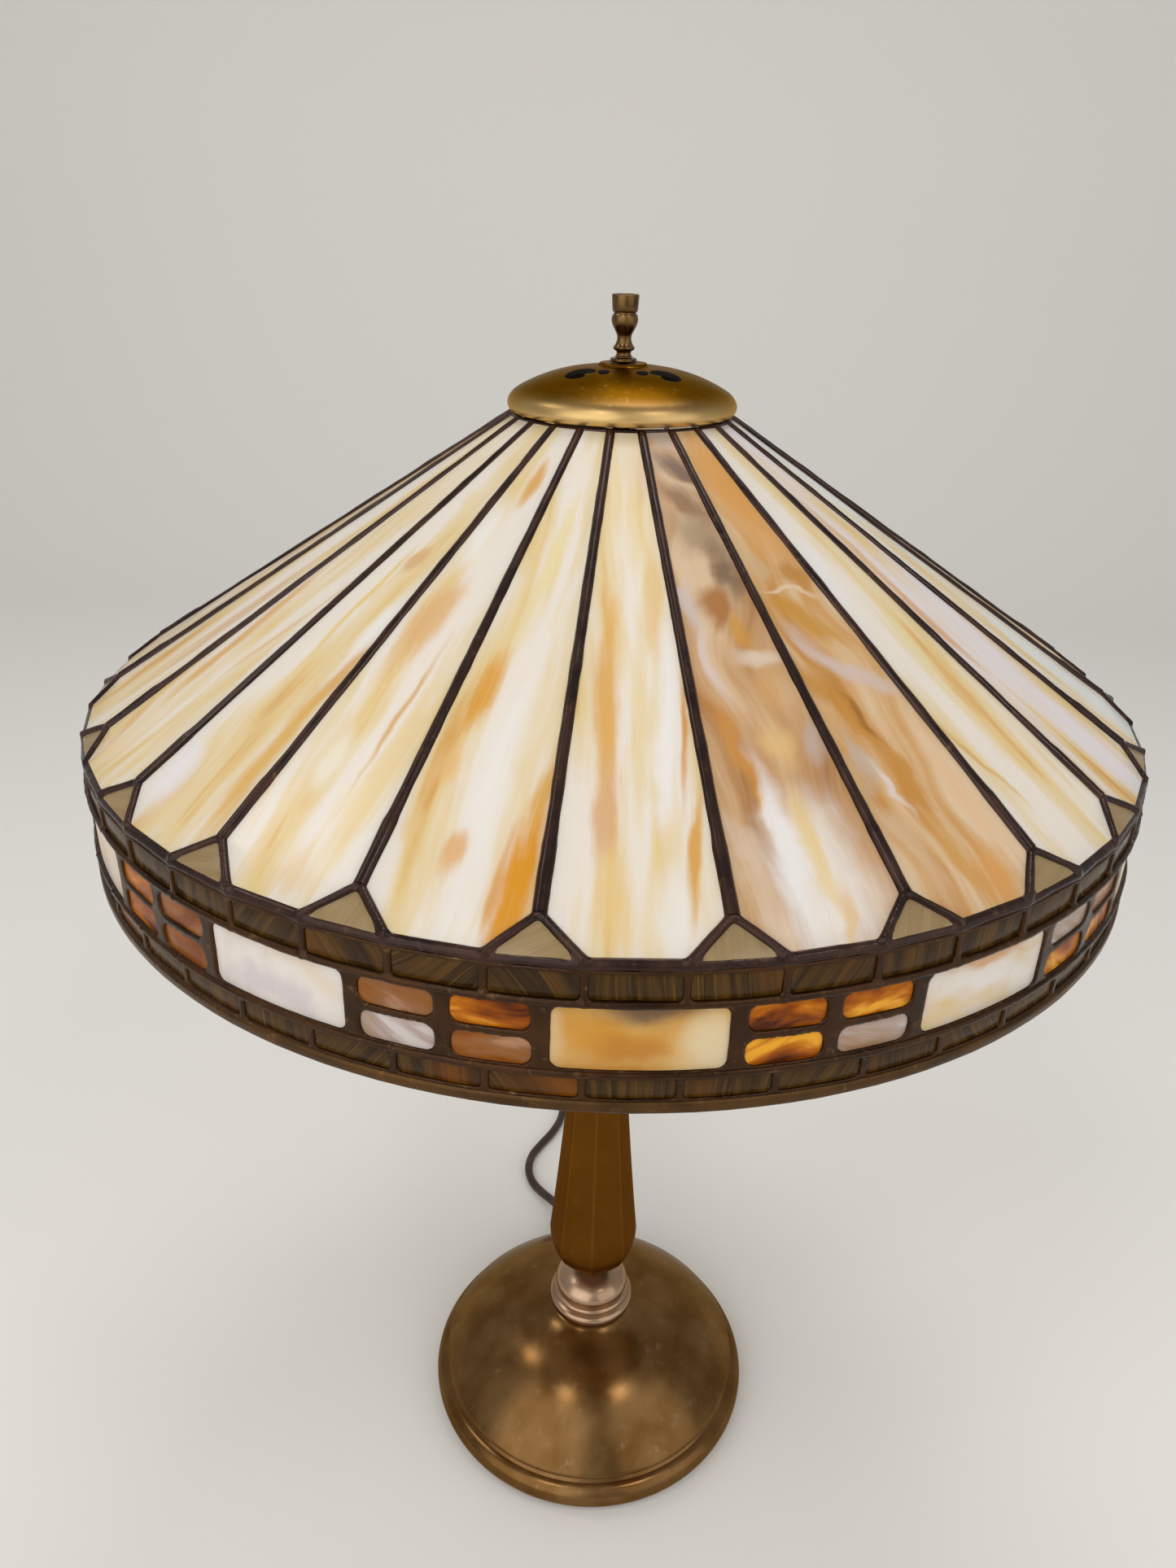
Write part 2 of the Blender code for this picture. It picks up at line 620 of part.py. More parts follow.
# Finial and its washer
stud_bottom = rod_top - STUD_TURNS * THREAD_PITCH
washer(
    "finial_washer",
    FINIAL_WASHER_RADIUS,
    STUD_RADIUS + 2 * GAP,
    finial_washer_bottom,
    FINIAL_WASHER_THICKNESS,
    aged_brass,
    16,
)
finial_top = finial_bottom + FINIAL_HEIGHT
finial_neck = STUD_RADIUS + 0.5 * MM
finial_profile = [
    (0.0, finial_top),
    (FINIAL_RADIUS - EDGE, finial_top),
    (FINIAL_RADIUS, finial_top - EDGE),
    (FINIAL_RADIUS, finial_top - 6.6 * MM),
    (FINIAL_RADIUS - 0.7 * MM, finial_top - 7.0 * MM),
    (FINIAL_RADIUS - 0.1 * MM, finial_top - 9.6 * MM),
    (FINIAL_RADIUS - 1.2 * MM, finial_top - 13.0 * MM),
    (finial_neck, finial_top - 16.5 * MM),
    (FINIAL_RADIUS - 1.1 * MM, finial_top - 20.4 * MM),
    (finial_neck, finial_top - 22.6 * MM),
    (finial_neck, finial_bottom),
    (STUD_RADIUS, finial_bottom),
    (STUD_RADIUS, stud_bottom),
    (0.0, stud_bottom),
]
turned("finial", finial_profile, aged_brass, 16)

# Felt, base shell, weight and locknut
felt_place = Matrix.Translation((0.0, 0.0, FELT_THICKNESS / 2))
solid_bar("felt_pad", FELT_RADIUS, FELT_THICKNESS, felt_place, parts, felt, 40)
pipe_hole = PIPE_RADIUS + GAP
dome_edge = base_bottom + DOME_EDGE_HEIGHT
bullnose_centre = (BASE_RADIUS - BULLNOSE_RADIUS, base_bottom + BULLNOSE_RADIUS)


def dome_points(outer, top_radius, low, high, count):
    """A bell curve from its foot up to the seat of the collar, listed from the top down."""
    points = []
    for i in range(count + 1):
        share = i / count
        radius = top_radius + (outer - top_radius) * share
        shoulder = 1.0 - share ** BELL_ROUND_POWER
        flare = (1.0 - share) ** BELL_FLARE_POWER
        bell = BELL_MIX * shoulder + (1.0 - BELL_MIX) * flare
        points.append((radius, low + (high - low) * bell))
    return points


dome_top = base_top - BASE_SEAT_HEIGHT
base_profile = [(pipe_hole, base_top), (BASE_TOP_RADIUS, base_top)]
base_profile += dome_points(DOME_RADIUS, BASE_TOP_RADIUS, dome_edge, dome_top, 14)
base_profile.append((DOME_RADIUS, dome_edge - BASE_GROOVE))
base_profile.append((DOME_RADIUS - BASE_GROOVE / 2, dome_edge - 2 * BASE_GROOVE))
base_profile += arc(bullnose_centre, BULLNOSE_RADIUS, 80.0, -90.0, 8)
wall_radius = BASE_RADIUS - BULLNOSE_RADIUS - BASE_WALL
plate_under = dome_top - BASE_WALL
base_profile.append((wall_radius, base_bottom))
inner_dome = dome_points(
    wall_radius, BASE_TOP_RADIUS - BASE_WALL, dome_edge - BASE_WALL, plate_under, 8
)
base_profile += inner_dome[::-1]
base_profile.append((pipe_hole, plate_under))
base_shell = turned("base_shell", base_profile, bronze, 32)

weight_radius = wall_radius - 2 * GAP
weight_top = base_bottom + WEIGHT_HEIGHT
recess_top = base_bottom + NUT_RECESS_HEIGHT
weight_profile = [
    (pipe_hole, plate_under - GAP),
    (WEIGHT_BOSS_RADIUS, plate_under - GAP),
    (WEIGHT_BOSS_RADIUS, weight_top),
    (weight_radius - WEIGHT_CHAMFER, weight_top),
    (weight_radius, weight_top - WEIGHT_CHAMFER),
    (weight_radius, base_bottom),
    (NUT_RECESS_RADIUS, base_bottom),
    (NUT_RECESS_RADIUS, recess_top),
    (pipe_hole, recess_top),
]
base_weight = turned("base_weight", weight_profile, iron, 32)
locknut_bottom = recess_top - GAP - LOCKNUT_HEIGHT
locknut_bore = pipe_hole / math.cos(math.pi / 6)
washer("base_locknut", LOCKNUT_RADIUS, locknut_bore, locknut_bottom, LOCKNUT_HEIGHT, steel, 6)

# The lead's slot in the weight, and the relief's hole in the shell
along_exit = exit_way.to_track_quat("Z", "Y").to_matrix().to_4x4()
slot_length = weight_radius
slot_centre = exit_way * (NUT_RECESS_RADIUS + slot_length) / 2
slot_shift = Matrix.Translation(slot_centre + Vector((0.0, 0.0, base_bottom)))
slot_place = slot_shift @ Matrix.Rotation(exit_turn, 4, "Z")
slot_size = (LEAD_SLOT_WIDTH, slot_length, 2 * LEAD_SLOT_HEIGHT)
cut(base_weight, solid_box("lead_slot", slot_size, slot_place, cutters, iron))
hole_centre = exit_way * BASE_RADIUS + Vector((0.0, 0.0, CORD_EXIT_LEVEL))
hole_place = Matrix.Translation(hole_centre) @ along_exit
hole_radius = RELIEF_STEM_RADIUS + GAP
hole_length = 2 * (BULLNOSE_RADIUS + 2 * BASE_WALL)
cut(base_shell, solid_bar("relief_hole", hole_radius, hole_length, hole_place, cutters, bronze))

# Neck collar: two rings under a flattened dome
ring_top = collar_bottom + sum(height for radius, height in COLLAR_RINGS)
dome_level = ring_top + COLLAR_DOME_LEVEL
dome_start = math.acos(COLUMN_NECK_RADIUS / COLLAR_DOME_RADIUS)
dome_rise = (collar_top - dome_level) / math.sin(dome_start)
collar_profile = [(pipe_hole, collar_top)]
for i in range(7):
    turn = dome_start * (1.0 - i / 6)
    collar_profile.append((COLLAR_DOME_RADIUS * math.cos(turn), dome_level + dome_rise * math.sin(turn)))
collar_profile.append((COLLAR_SHOULDER_RADIUS, ring_top))
for radius, height in reversed(COLLAR_RINGS):
    bead_radius = height / 2 - GAP / 2
    bead_middle = (radius - bead_radius, ring_top - height / 2)
    collar_profile += arc(bead_middle, bead_radius, 70.0, -70.0, 4)
    ring_top -= height
collar_profile.append((pipe_hole, collar_bottom))
turned("neck_collar", collar_profile, bronze, 20)


# Column: eight flat sides, a bulb at the foot and a long taper
def column_radius(height):
    """Corner radius of the column at a height above its foot."""
    if height >= COLUMN_BULB_HEIGHT:
        share = (height - COLUMN_BULB_HEIGHT) / (COLUMN_HEIGHT - COLUMN_BULB_HEIGHT)
        swell = (1.0 - share) ** COLUMN_TAPER_POWER
        return COLUMN_TOP_RADIUS + (COLUMN_BULB_RADIUS - COLUMN_TOP_RADIUS) * swell
    if height <= COLUMN_NECK_HEIGHT:
        return COLUMN_NECK_RADIUS
    flare_height = COLUMN_BULB_HEIGHT - COLUMN_NECK_HEIGHT - COLUMN_BELT_HEIGHT
    share = min(1.0, (height - COLUMN_NECK_HEIGHT) / flare_height)
    swell = math.sin(share * math.pi / 2) ** COLUMN_FLARE_POWER
    return COLUMN_NECK_RADIUS + (COLUMN_BULB_RADIUS - COLUMN_NECK_RADIUS) * swell


column_heights = [0.0, COLUMN_NECK_HEIGHT]
flare = COLUMN_BULB_HEIGHT - COLUMN_NECK_HEIGHT
taper = COLUMN_HEIGHT - COLUMN_BULB_HEIGHT
column_heights += [COLUMN_NECK_HEIGHT + flare * i / 6 for i in range(1, 7)]
column_heights += [COLUMN_BULB_HEIGHT + taper * i / 9 for i in range(1, 10)]
corner_wall = COLUMN_WALL / math.cos(math.pi / COLUMN_SIDES)
column_outside = [(column_radius(height), column_bottom + height) for height in reversed(column_heights)]
column_bore = pipe_hole / math.cos(math.pi / COLUMN_SIDES)
column_inside = []
for height in column_heights:
    column_inside.append((max(column_radius(height) - corner_wall, column_bore), column_bottom + height))
turned("column", column_outside + column_inside, column_bronze, COLUMN_SIDES, -90.0)

# Stem pipe and the supply lead inside it
pipe_bottom = locknut_bottom - PIPE_THREAD_BELOW_NUT
pipe_top = cluster_bottom + PIPE_IN_CLUSTER - GAP
pipe_profile = [
    (PIPE_RADIUS, pipe_top),
    (PIPE_RADIUS, pipe_bottom),
    (PIPE_BORE_RADIUS, pipe_bottom),
    (PIPE_BORE_RADIUS, pipe_top),
]
turned("stem_pipe", pipe_profile, steel, 16)
lead_points = [exit_way * (relief_start - GAP) + Vector((0.0, 0.0, LEAD_LEVEL))]
for i in range(7):
    bend = math.radians(90.0 * i / 6)
    outward = LEAD_BEND_RADIUS * (1.0 - math.sin(bend))
    rise = LEAD_BEND_RADIUS * (1.0 - math.cos(bend))
    lead_points.append(exit_way * outward + Vector((0.0, 0.0, LEAD_LEVEL + rise)))
lead_points.append(Vector((0.0, 0.0, pipe_top - GAP)))
tube("supply_lead", lead_points, LEAD_RADIUS, 2, black_plastic)

# Socket cluster: a cup on the column, with two tilted arms
pipe_seat = cluster_bottom + PIPE_IN_CLUSTER
rod_seat = cluster_top - ROD_SOCKET_DEPTH
cup_radius = COLUMN_TOP_RADIUS + CUP_WALL
cluster_profile = [
    (0.0, rod_seat),
    (rod_hole, rod_seat),
    (rod_hole, cluster_top),
    (CLUSTER_RADIUS - CLUSTER_SHOULDER[0], cluster_top),
    (CLUSTER_RADIUS, cluster_top - CLUSTER_SHOULDER[1]),
    (CLUSTER_RADIUS, pipe_seat),
    (cup_radius, cluster_bottom + CUP_HEIGHT),
    (cup_radius, cluster_bottom),
    (pipe_hole, cluster_bottom),
    (pipe_hole, pipe_seat),
    (0.0, pipe_seat),
]
cluster_body = turned("cluster_body", cluster_profile, aged_brass, 20)

socket_bottom = ARM_LENGTH + GAP
socket_top = socket_bottom + SOCKET_LENGTH
socket_floor = socket_bottom + SOCKET_CAP_LENGTH
socket_bore = BULB_BASE_RADIUS + 3 * GAP
socket_radius = socket_bore + SOCKET_WALL
socket_profile = [
    (0.0, socket_floor),
    (socket_bore, socket_floor),
    (socket_bore, socket_top),
    (socket_radius, socket_top),
    (socket_radius, socket_floor + 2 * SOCKET_BEAD),
    (socket_radius + SOCKET_BEAD, socket_floor),
    (socket_radius + SOCKET_BEAD, socket_floor - SOCKET_BEAD_HEIGHT),
    (socket_radius - SOCKET_CAP_TAPER[0], socket_bottom + SOCKET_CAP_TAPER[1]),
    (ARM_RADIUS + SOCKET_FOOT_WALL, socket_bottom),
    (0.0, socket_bottom),
]


def bulb_profile():
    """A screw base, a neck that swells, and a round end, in the socket's own frame."""
    foot = socket_floor + GAP
    neck = socket_top + GAP
    tip = foot + BULB_LENGTH
    ball = tip - BULB_RADIUS
    profile = [(0.0, tip)]
    profile += arc((0.0, ball), BULB_RADIUS, 66.0, 0.0, 3)
    profile += [(BULB_RADIUS * share, ball - drop) for share, drop in BULB_SHOULDER]
    profile.append((BULB_BASE_RADIUS + BULB_NECK[0], neck + BULB_NECK[1]))
    profile.append((BULB_BASE_RADIUS, neck))
    profile.append((BULB_BASE_RADIUS, foot + BULB_CONTACT[1]))
    profile.append((BULB_BASE_RADIUS - BULB_CONTACT[0], foot))
    profile.append((0.0, foot))
    return profile


def socket_set(number, heading):
    """An arm with its socket, turn key and bulb, on an empty whose Z runs along the arm."""
    arm = bpy.data.objects.new(f"arm_{number}", None)
    parts.objects.link(arm)
    tilt = math.radians(ARM_TILT)
    arm_way = Vector((heading * math.cos(tilt), 0.0, math.sin(tilt)))
    across = Vector((0.0, -1.0, 0.0))
    arm_frame = Matrix((across.cross(arm_way), across, arm_way)).transposed().to_4x4()
    arm.matrix_world = Matrix.Translation((0.0, 0.0, cluster_bottom + ARM_RISE)) @ arm_frame
    bar_start = CLUSTER_RADIUS / 2
    bar_place = arm.matrix_world @ Matrix.Translation((0.0, 0.0, (bar_start + ARM_LENGTH) / 2))
    bar_length = ARM_LENGTH - bar_start
    bar = solid_bar(f"arm_bar_{number}", ARM_RADIUS, bar_length, bar_place, cutters, aged_brass)
    cut(cluster_body, bar, "UNION")
    socket = turned(f"socket_{number}", socket_profile, aged_brass, 16)
    bulb = turned(f"bulb_{number}", bulb_profile(), bulb_glass, 16)
    for thing in (socket, bulb):
        thing.parent = arm
    key_axis = socket_bottom + KEY_OFFSET
    key_inner = socket_radius - KEY_SHAFT_DEPTH
    key_outer = socket_radius + KEY_STANDOUT
    shaft_turn = Matrix.Rotation(math.radians(-90.0), 4, "X")
    hole_middle = Matrix.Translation((0.0, (key_inner - GAP + 2 * socket_radius) / 2, key_axis))
    key_hole = solid_bar(
        f"key_hole_{number}",
        KEY_SHAFT_RADIUS + GAP,
        2 * socket_radius - key_inner + GAP,
        arm.matrix_world @ hole_middle @ shaft_turn,
        cutters,
        aged_brass,
    )
    cut(socket, key_hole)
    shaft_middle = Matrix.Translation((0.0, (key_inner + key_outer) / 2, key_axis))
    key = solid_bar(
        f"socket_key_{number}",
        KEY_SHAFT_RADIUS,
        key_outer - key_inner,
        arm.matrix_world @ shaft_middle @ shaft_turn,
        parts,
        black_plastic,
        12,
    )
    paddle_place = arm.matrix_world @ Matrix.Translation((0.0, key_outer, key_axis))
    paddle = solid_box(f"key_paddle_{number}", KEY_PADDLE, paddle_place, cutters, black_plastic)
    cut(key, paddle, "UNION")


bpy.context.view_layer.update()
socket_set(1, 1.0)
socket_set(2, -1.0)

# Shade rod with a tapped bore for the finial's stud
stud_bore = STUD_RADIUS + GAP
rod_profile = [
    (0.0, rod_top - ROD_BORE_DEPTH),
    (stud_bore, rod_top - ROD_BORE_DEPTH),
    (stud_bore, rod_top),
    (ROD_RADIUS, rod_top),
    (ROD_RADIUS, rod_bottom),
    (0.0, rod_bottom),
]
turned("shade_rod", rod_profile, aged_brass, 16)

# Strain relief, turned about the cord's way out of the base
relief_profile = [
    (0.0, relief_end),
    (RELIEF_TIP_RADIUS, relief_end),
    (RELIEF_COLLAR_RADIUS - RELIEF_CHAMFER, relief_seat + RELIEF_COLLAR_LENGTH),
    (RELIEF_COLLAR_RADIUS, relief_seat + RELIEF_COLLAR_LENGTH - RELIEF_CHAMFER),
    (RELIEF_COLLAR_RADIUS, relief_seat),
    (RELIEF_STEM_RADIUS, relief_seat),
    (RELIEF_STEM_RADIUS, relief_start),
    (0.0, relief_start),
]
relief = turned("strain_relief", relief_profile, black_plastic, 16)
relief.matrix_world = Matrix.Translation((0.0, 0.0, CORD_EXIT_LEVEL)) @ along_exit

# Cord run: hand-placed points from the relief to the coil, along the ground
coil_outer = COIL_INNER_RADIUS + COIL_PITCH * COIL_TURNS / 2
coil_start = Vector((COIL_CENTRE[0] - coil_outer, COIL_CENTRE[1], coil_level))
coil_foot = coil_start - Vector((0.0, 2 * CORD_RADIUS, 0.0))
relief_mouth = exit_way * (relief_end + GAP) + Vector((0.0, 0.0, CORD_EXIT_LEVEL))
floor_level = CORD_RADIUS + 0.1 * MM
run_points = [
    relief_mouth,
    relief_mouth + exit_way * 2 * CORD_RADIUS,
    Vector((-31.0 * MM, 131.0 * MM, 6.6 * MM)),
    Vector((-39.5 * MM, 141.5 * MM, 4.0 * MM)),
    Vector((-47.5 * MM, 152.5 * MM, floor_level)),
    Vector((-51.5 * MM, 166.0 * MM, floor_level)),
    Vector((-50.0 * MM, 180.0 * MM, floor_level)),
    Vector((-43.5 * MM, 193.0 * MM, floor_level)),
    Vector((-36.0 * MM, 206.0 * MM, floor_level)),
    Vector((-30.5 * MM, 220.0 * MM, floor_level)),
    Vector((-28.2 * MM, 236.0 * MM, floor_level)),
    Vector((-28.0 * MM, 254.0 * MM, floor_level)),
    coil_foot - Vector((0.0, 20.0 * MM, 0.6 * MM)),
    coil_foot - Vector((0.0, GAP, 0.0)),
]


def smooth_route(points, steps):
    """A smooth curve through every point, with the same number of steps between each two."""
    ways = []
    for i, point in enumerate(points):
        back = point - points[max(i - 1, 0)]
        ahead = points[min(i + 1, len(points) - 1)] - point
        way = back.normalized() * ahead.length + ahead.normalized() * back.length
        ways.append(way.normalized() if way.length > 0.0 else (back + ahead).normalized())
    route = []
    for i in range(len(points) - 1):
        start, stop = points[i], points[i + 1]
        length = (stop - start).length
        for step in range(steps):
            t = step / steps
            place = start * (1 + 2 * t) * (1 - t) ** 2 + stop * t ** 2 * (3 - 2 * t)
            bend = ways[i] * t * (1 - t) ** 2 - ways[i + 1] * t ** 2 * (1 - t)
            route.append(place + length * bend)
    route.append(points[-1])
    return route


tube("cord_run", smooth_route(run_points, 3), CORD_RADIUS, 2, cord_cover)


# Cord coil: spirals in on the lower layer, climbs, and spirals out on the upper one
def coil_points():
    points = [coil_foot]
    middle = COIL_TURNS / 2
    steps = round(COIL_TURNS * COIL_POINTS_PER_TURN)
    for i in range(steps + 1):
        turns = COIL_TURNS * i / steps
        angle = math.pi - math.tau * turns
        radius = COIL_INNER_RADIUS + COIL_PITCH * abs(turns - middle)
        climb = min(1.0, max(0.0, (turns - middle) * 2.0 + 0.5))
        height = coil_level + COIL_LAYER * (3.0 * climb ** 2 - 2.0 * climb ** 3)
        spoke = Vector((math.cos(angle), math.sin(angle), 0.0)) * radius
        points.append(Vector((*COIL_CENTRE, height)) + spoke)
    end_angle = math.pi - math.tau * COIL_TURNS
    way_out = Vector((math.sin(end_angle), -math.cos(end_angle), 0.0))
    last = points[-1]
    plug_drop = Vector((0.0, 0.0, plug_level - last.z))
    points.append(last + way_out * COIL_LEAD_OUT * 0.4 + plug_drop * 0.4)
    points.append(last + way_out * (COIL_LEAD_OUT - 2 * CORD_RADIUS) + plug_drop)
    points.append(last + way_out * COIL_LEAD_OUT + plug_drop)
    return points, way_out


def least_self_gap(points, radius):
    """Smallest clear space between stretches of one tube that aren't neighbours along it."""
    least = 1.0
    dense = []
    for start, stop in zip(points, points[1:]):
        dense += [start.lerp(stop, step / 4) for step in range(4)]
    far = round(6 * radius / (dense[12] - dense[11]).length) + 4
    for i, first in enumerate(dense):
        for second in dense[i + far:]:
            least = min(least, (first - second).length)
    return least - 2 * radius


plug_level = PLUG_SIZE[2] / 2 + GAP
coil_route, coil_way_out = coil_points()
print("least gap between turns of the coil, mm:", round(least_self_gap(coil_route, CORD_RADIUS) / MM, 2))
tube("cord_coil", coil_route, CORD_RADIUS, 1, cord_cover)

# Tie round the coil's turns, on its right side
tie_inner = COIL_INNER_RADIUS - CORD_RADIUS - TIE_CLEARANCE
tie_outer = coil_outer + CORD_RADIUS + TIE_CLEARANCE
tie_low = coil_level - CORD_RADIUS - TIE_CLEARANCE
tie_high = coil_level + COIL_LAYER + CORD_RADIUS + TIE_CLEARANCE


def rounded_box(low_x, high_x, low_y, high_y, radius):
    """Outline of a box with round corners."""
    left, right = low_x + radius, high_x - radius
    low, high = low_y + radius, high_y - radius
    outline = arc((right, high), radius, 0.0, 90.0, 3)
    outline += arc((left, high), radius, 90.0, 180.0, 3)
    outline += arc((left, low), radius, 180.0, 270.0, 3)
    outline += arc((right, low), radius, 270.0, 360.0, 3)
    return outline


strap = TIE_THICKNESS
tie_loops = [
    rounded_box(tie_inner - strap, tie_outer + strap, tie_low - strap, tie_high + strap, TIE_CORNER + strap),
    rounded_box(tie_inner, tie_outer, tie_low, tie_high, TIE_CORNER),
]
tie = outline_curve("cord_tie", tie_loops, TIE_WIDTH, black_plastic, parts)
tie.rotation_euler.x = math.radians(90.0)
tie.location = (COIL_CENTRE[0], COIL_CENTRE[1], 0.0)

# Plug at the end of the cord, lying on the ground beside the coil
plug_near = coil_route[-1] + coil_way_out * GAP
plug_turn = Matrix.Rotation(math.atan2(coil_way_out.y, coil_way_out.x), 4, "Z")
plug_place = Matrix.Translation(plug_near) @ plug_turn @ Matrix.Translation((PLUG_SIZE[0] / 2, 0.0, 0.0))
plug = solid_box("plug", PLUG_SIZE, plug_place, parts, black_plastic)
round_edges = plug.modifiers.new("round_edges", "BEVEL")
round_edges.width = PLUG_ROUNDING
round_edges.segments = 2
for side in (1.0, -1.0):
    blade_reach = (PLUG_SIZE[0] + BLADE_SIZE[0]) / 2 - BLADE_ROOT
    blade_place = plug_place @ Matrix.Translation((blade_reach, side * BLADE_SPACING / 2, 0.0))
    blade = solid_box(f"blade_{'left' if side > 0 else 'right'}", BLADE_SIZE, blade_place, cutters, steel)
    cut(plug, blade, "UNION")
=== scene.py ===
import json
import math
import random

import bmesh
import bpy
from mathutils import Matrix, Vector


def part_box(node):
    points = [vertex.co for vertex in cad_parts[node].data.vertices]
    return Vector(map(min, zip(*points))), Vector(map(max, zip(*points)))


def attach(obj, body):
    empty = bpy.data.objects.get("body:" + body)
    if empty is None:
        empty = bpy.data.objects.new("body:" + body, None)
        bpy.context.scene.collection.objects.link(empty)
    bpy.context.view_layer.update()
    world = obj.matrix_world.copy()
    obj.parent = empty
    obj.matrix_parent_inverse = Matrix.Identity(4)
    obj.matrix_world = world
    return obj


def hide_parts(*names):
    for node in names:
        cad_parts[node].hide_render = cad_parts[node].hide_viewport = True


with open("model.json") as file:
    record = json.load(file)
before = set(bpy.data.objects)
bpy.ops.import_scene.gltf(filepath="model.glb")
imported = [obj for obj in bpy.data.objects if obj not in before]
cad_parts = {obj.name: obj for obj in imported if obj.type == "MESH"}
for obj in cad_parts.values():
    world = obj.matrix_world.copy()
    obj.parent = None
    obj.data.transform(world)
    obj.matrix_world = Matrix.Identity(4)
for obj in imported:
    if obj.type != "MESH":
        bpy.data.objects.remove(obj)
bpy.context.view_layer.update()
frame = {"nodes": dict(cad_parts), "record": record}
print("frame loaded,", len(frame["nodes"]), "nodes")

mm = 0.001


def facing(*axes):
    # the turn that lays X, Y and Z along three axes
    return Matrix(axes).transposed().to_4x4()


# Camera where the photograph was taken
view = {"place": (0.0, -0.50006, 0.66157), "down": 25.97, "aside": -1.15, "roll": 1.5,
        "focalPixels": 1404.7, "imageHigh": 1927.0, "sensor": 36.0}


def addCamera():
    down, aside, roll = (math.radians(view[key]) for key in ("down", "aside", "roll"))
    ahead = Vector((math.sin(aside) * math.cos(down), math.cos(aside) * math.cos(down), -math.sin(down)))
    level = Vector((math.cos(aside), -math.sin(aside), 0.0))
    upright = level.cross(ahead)
    right = math.cos(roll) * level + math.sin(roll) * upright
    up = math.cos(roll) * upright - math.sin(roll) * level
    lens = bpy.data.cameras.new("camera")
    lens.sensor_width = view["sensor"]
    lens.lens = view["focalPixels"] * view["sensor"] / view["imageHigh"]
    camera = bpy.data.objects.new("camera", lens)
    bpy.context.scene.collection.objects.link(camera)
    camera.matrix_world = Matrix.Translation(view["place"]) @ facing(right, up, -ahead)
    bpy.context.scene.camera = camera


addCamera()
bpy.context.scene.view_settings.view_transform = "Standard"


# Selecting, shaping and finishing by hand
def clearSelection():
    if bpy.context.object and bpy.context.object.mode != "OBJECT":
        bpy.ops.object.mode_set(mode="OBJECT")
    bpy.ops.object.select_all(action="DESELECT")


def pickUp(piece):
    clearSelection()
    piece.select_set(True)
    bpy.context.view_layer.objects.active = piece


def startPiece(name):
    piece = bpy.context.object
    piece.name = name
    piece.data.name = name
    bpy.context.tool_settings.mesh_select_mode = (True, False, False)
    bpy.ops.object.mode_set(mode="EDIT")
    return piece


def startBlock(name):
    clearSelection()
    bpy.ops.mesh.primitive_cube_add(size=1.0)
    return startPiece(name)


def pickVerts(piece, test):
    bpy.ops.mesh.select_mode(type="VERT")
    bpy.ops.mesh.select_all(action="DESELECT")
    shape = bmesh.from_edit_mesh(piece.data)
    for vert in shape.verts:
        vert.select = test(vert.co)
    shape.select_flush_mode()
    bmesh.update_edit_mesh(piece.data)


def pickFaces(piece, test):
    bpy.ops.mesh.select_mode(type="FACE")
    bpy.ops.mesh.select_all(action="DESELECT")
    shape = bmesh.from_edit_mesh(piece.data)
    for face in shape.faces:
        face.select = test(face.calc_center_median(), face.normal)
    shape.select_flush_mode()
    bmesh.update_edit_mesh(piece.data)


def pickEdges(piece, test):
    bpy.ops.mesh.select_mode(type="EDGE")
    bpy.ops.mesh.select_all(action="DESELECT")
    shape = bmesh.from_edit_mesh(piece.data)
    for edge in shape.edges:
        edge.select = test(edge.verts[0].co, edge.verts[1].co)
    bmesh.update_edit_mesh(piece.data)


def applyModifier(piece, kind, **settings):
    pickUp(piece)
    modifier = piece.modifiers.new(kind.lower(), kind)
    for key, value in settings.items():
        setattr(modifier, key, value)
    bpy.ops.object.modifier_apply(modifier=modifier.name)


def softenEdges(piece, width, sharper=50.0):
    applyModifier(piece, "BEVEL", width=width, segments=2, limit_method="ANGLE",
                  angle_limit=math.radians(sharper))


def ruffle(piece, texture, strength, middle=0.5):
    applyModifier(piece, "DISPLACE", texture=texture, strength=strength, mid_level=middle,
                  texture_coords="LOCAL")


def setDown(piece):
    pickUp(piece)
    bpy.ops.object.transform_apply(location=True, rotation=True, scale=True)


def smooth(piece, degrees=40.0):
    pickUp(piece)
    bpy.ops.object.shade_smooth_by_angle(angle=math.radians(degrees))


def copyOf(piece, name):
    twin = piece.copy()
    twin.data = piece.data.copy()
    twin.name = name
    twin.data.name = name
    bpy.context.scene.collection.objects.link(twin)
    return twin


def joined(pieces, name):
    clearSelection()
    for piece in pieces:
        piece.select_set(True)
    bpy.context.view_layer.objects.active = pieces[0]
    bpy.ops.object.join()
    whole = bpy.context.object
    whole.name = name
    whole.data.name = name
    return whole


def seat(piece, finish, body, slotName, *nodes):
    piece.data.materials.clear()
    piece.data.materials.append(finish)
    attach(piece, body)
    if nodes:
        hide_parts(*nodes)


def turned(name, profile, steps=96):
    # one point drawn out along the profile, then spun about Z
    clearSelection()
    bpy.ops.mesh.primitive_circle_add(vertices=3, radius=1 * mm)
    piece = startPiece(name)
    bpy.ops.mesh.merge(type="CENTER")
    bpy.ops.transform.translate(value=(profile[0][0], 0.0, profile[0][1]))
    for start, stop in zip(profile, profile[1:]):
        step = (stop[0] - start[0], 0.0, stop[1] - start[1])
        bpy.ops.mesh.extrude_region_move(TRANSFORM_OT_translate={"value": step})
    bpy.ops.mesh.select_all(action="SELECT")
    bpy.ops.mesh.spin(steps=steps, angle=math.tau, center=(0, 0, 0), axis=(0, 0, 1))
    bpy.ops.mesh.select_all(action="SELECT")
    bpy.ops.mesh.remove_doubles(threshold=0.01 * mm)
    bpy.ops.mesh.normals_make_consistent(inside=False)
    bpy.ops.object.mode_set(mode="OBJECT")
    return piece


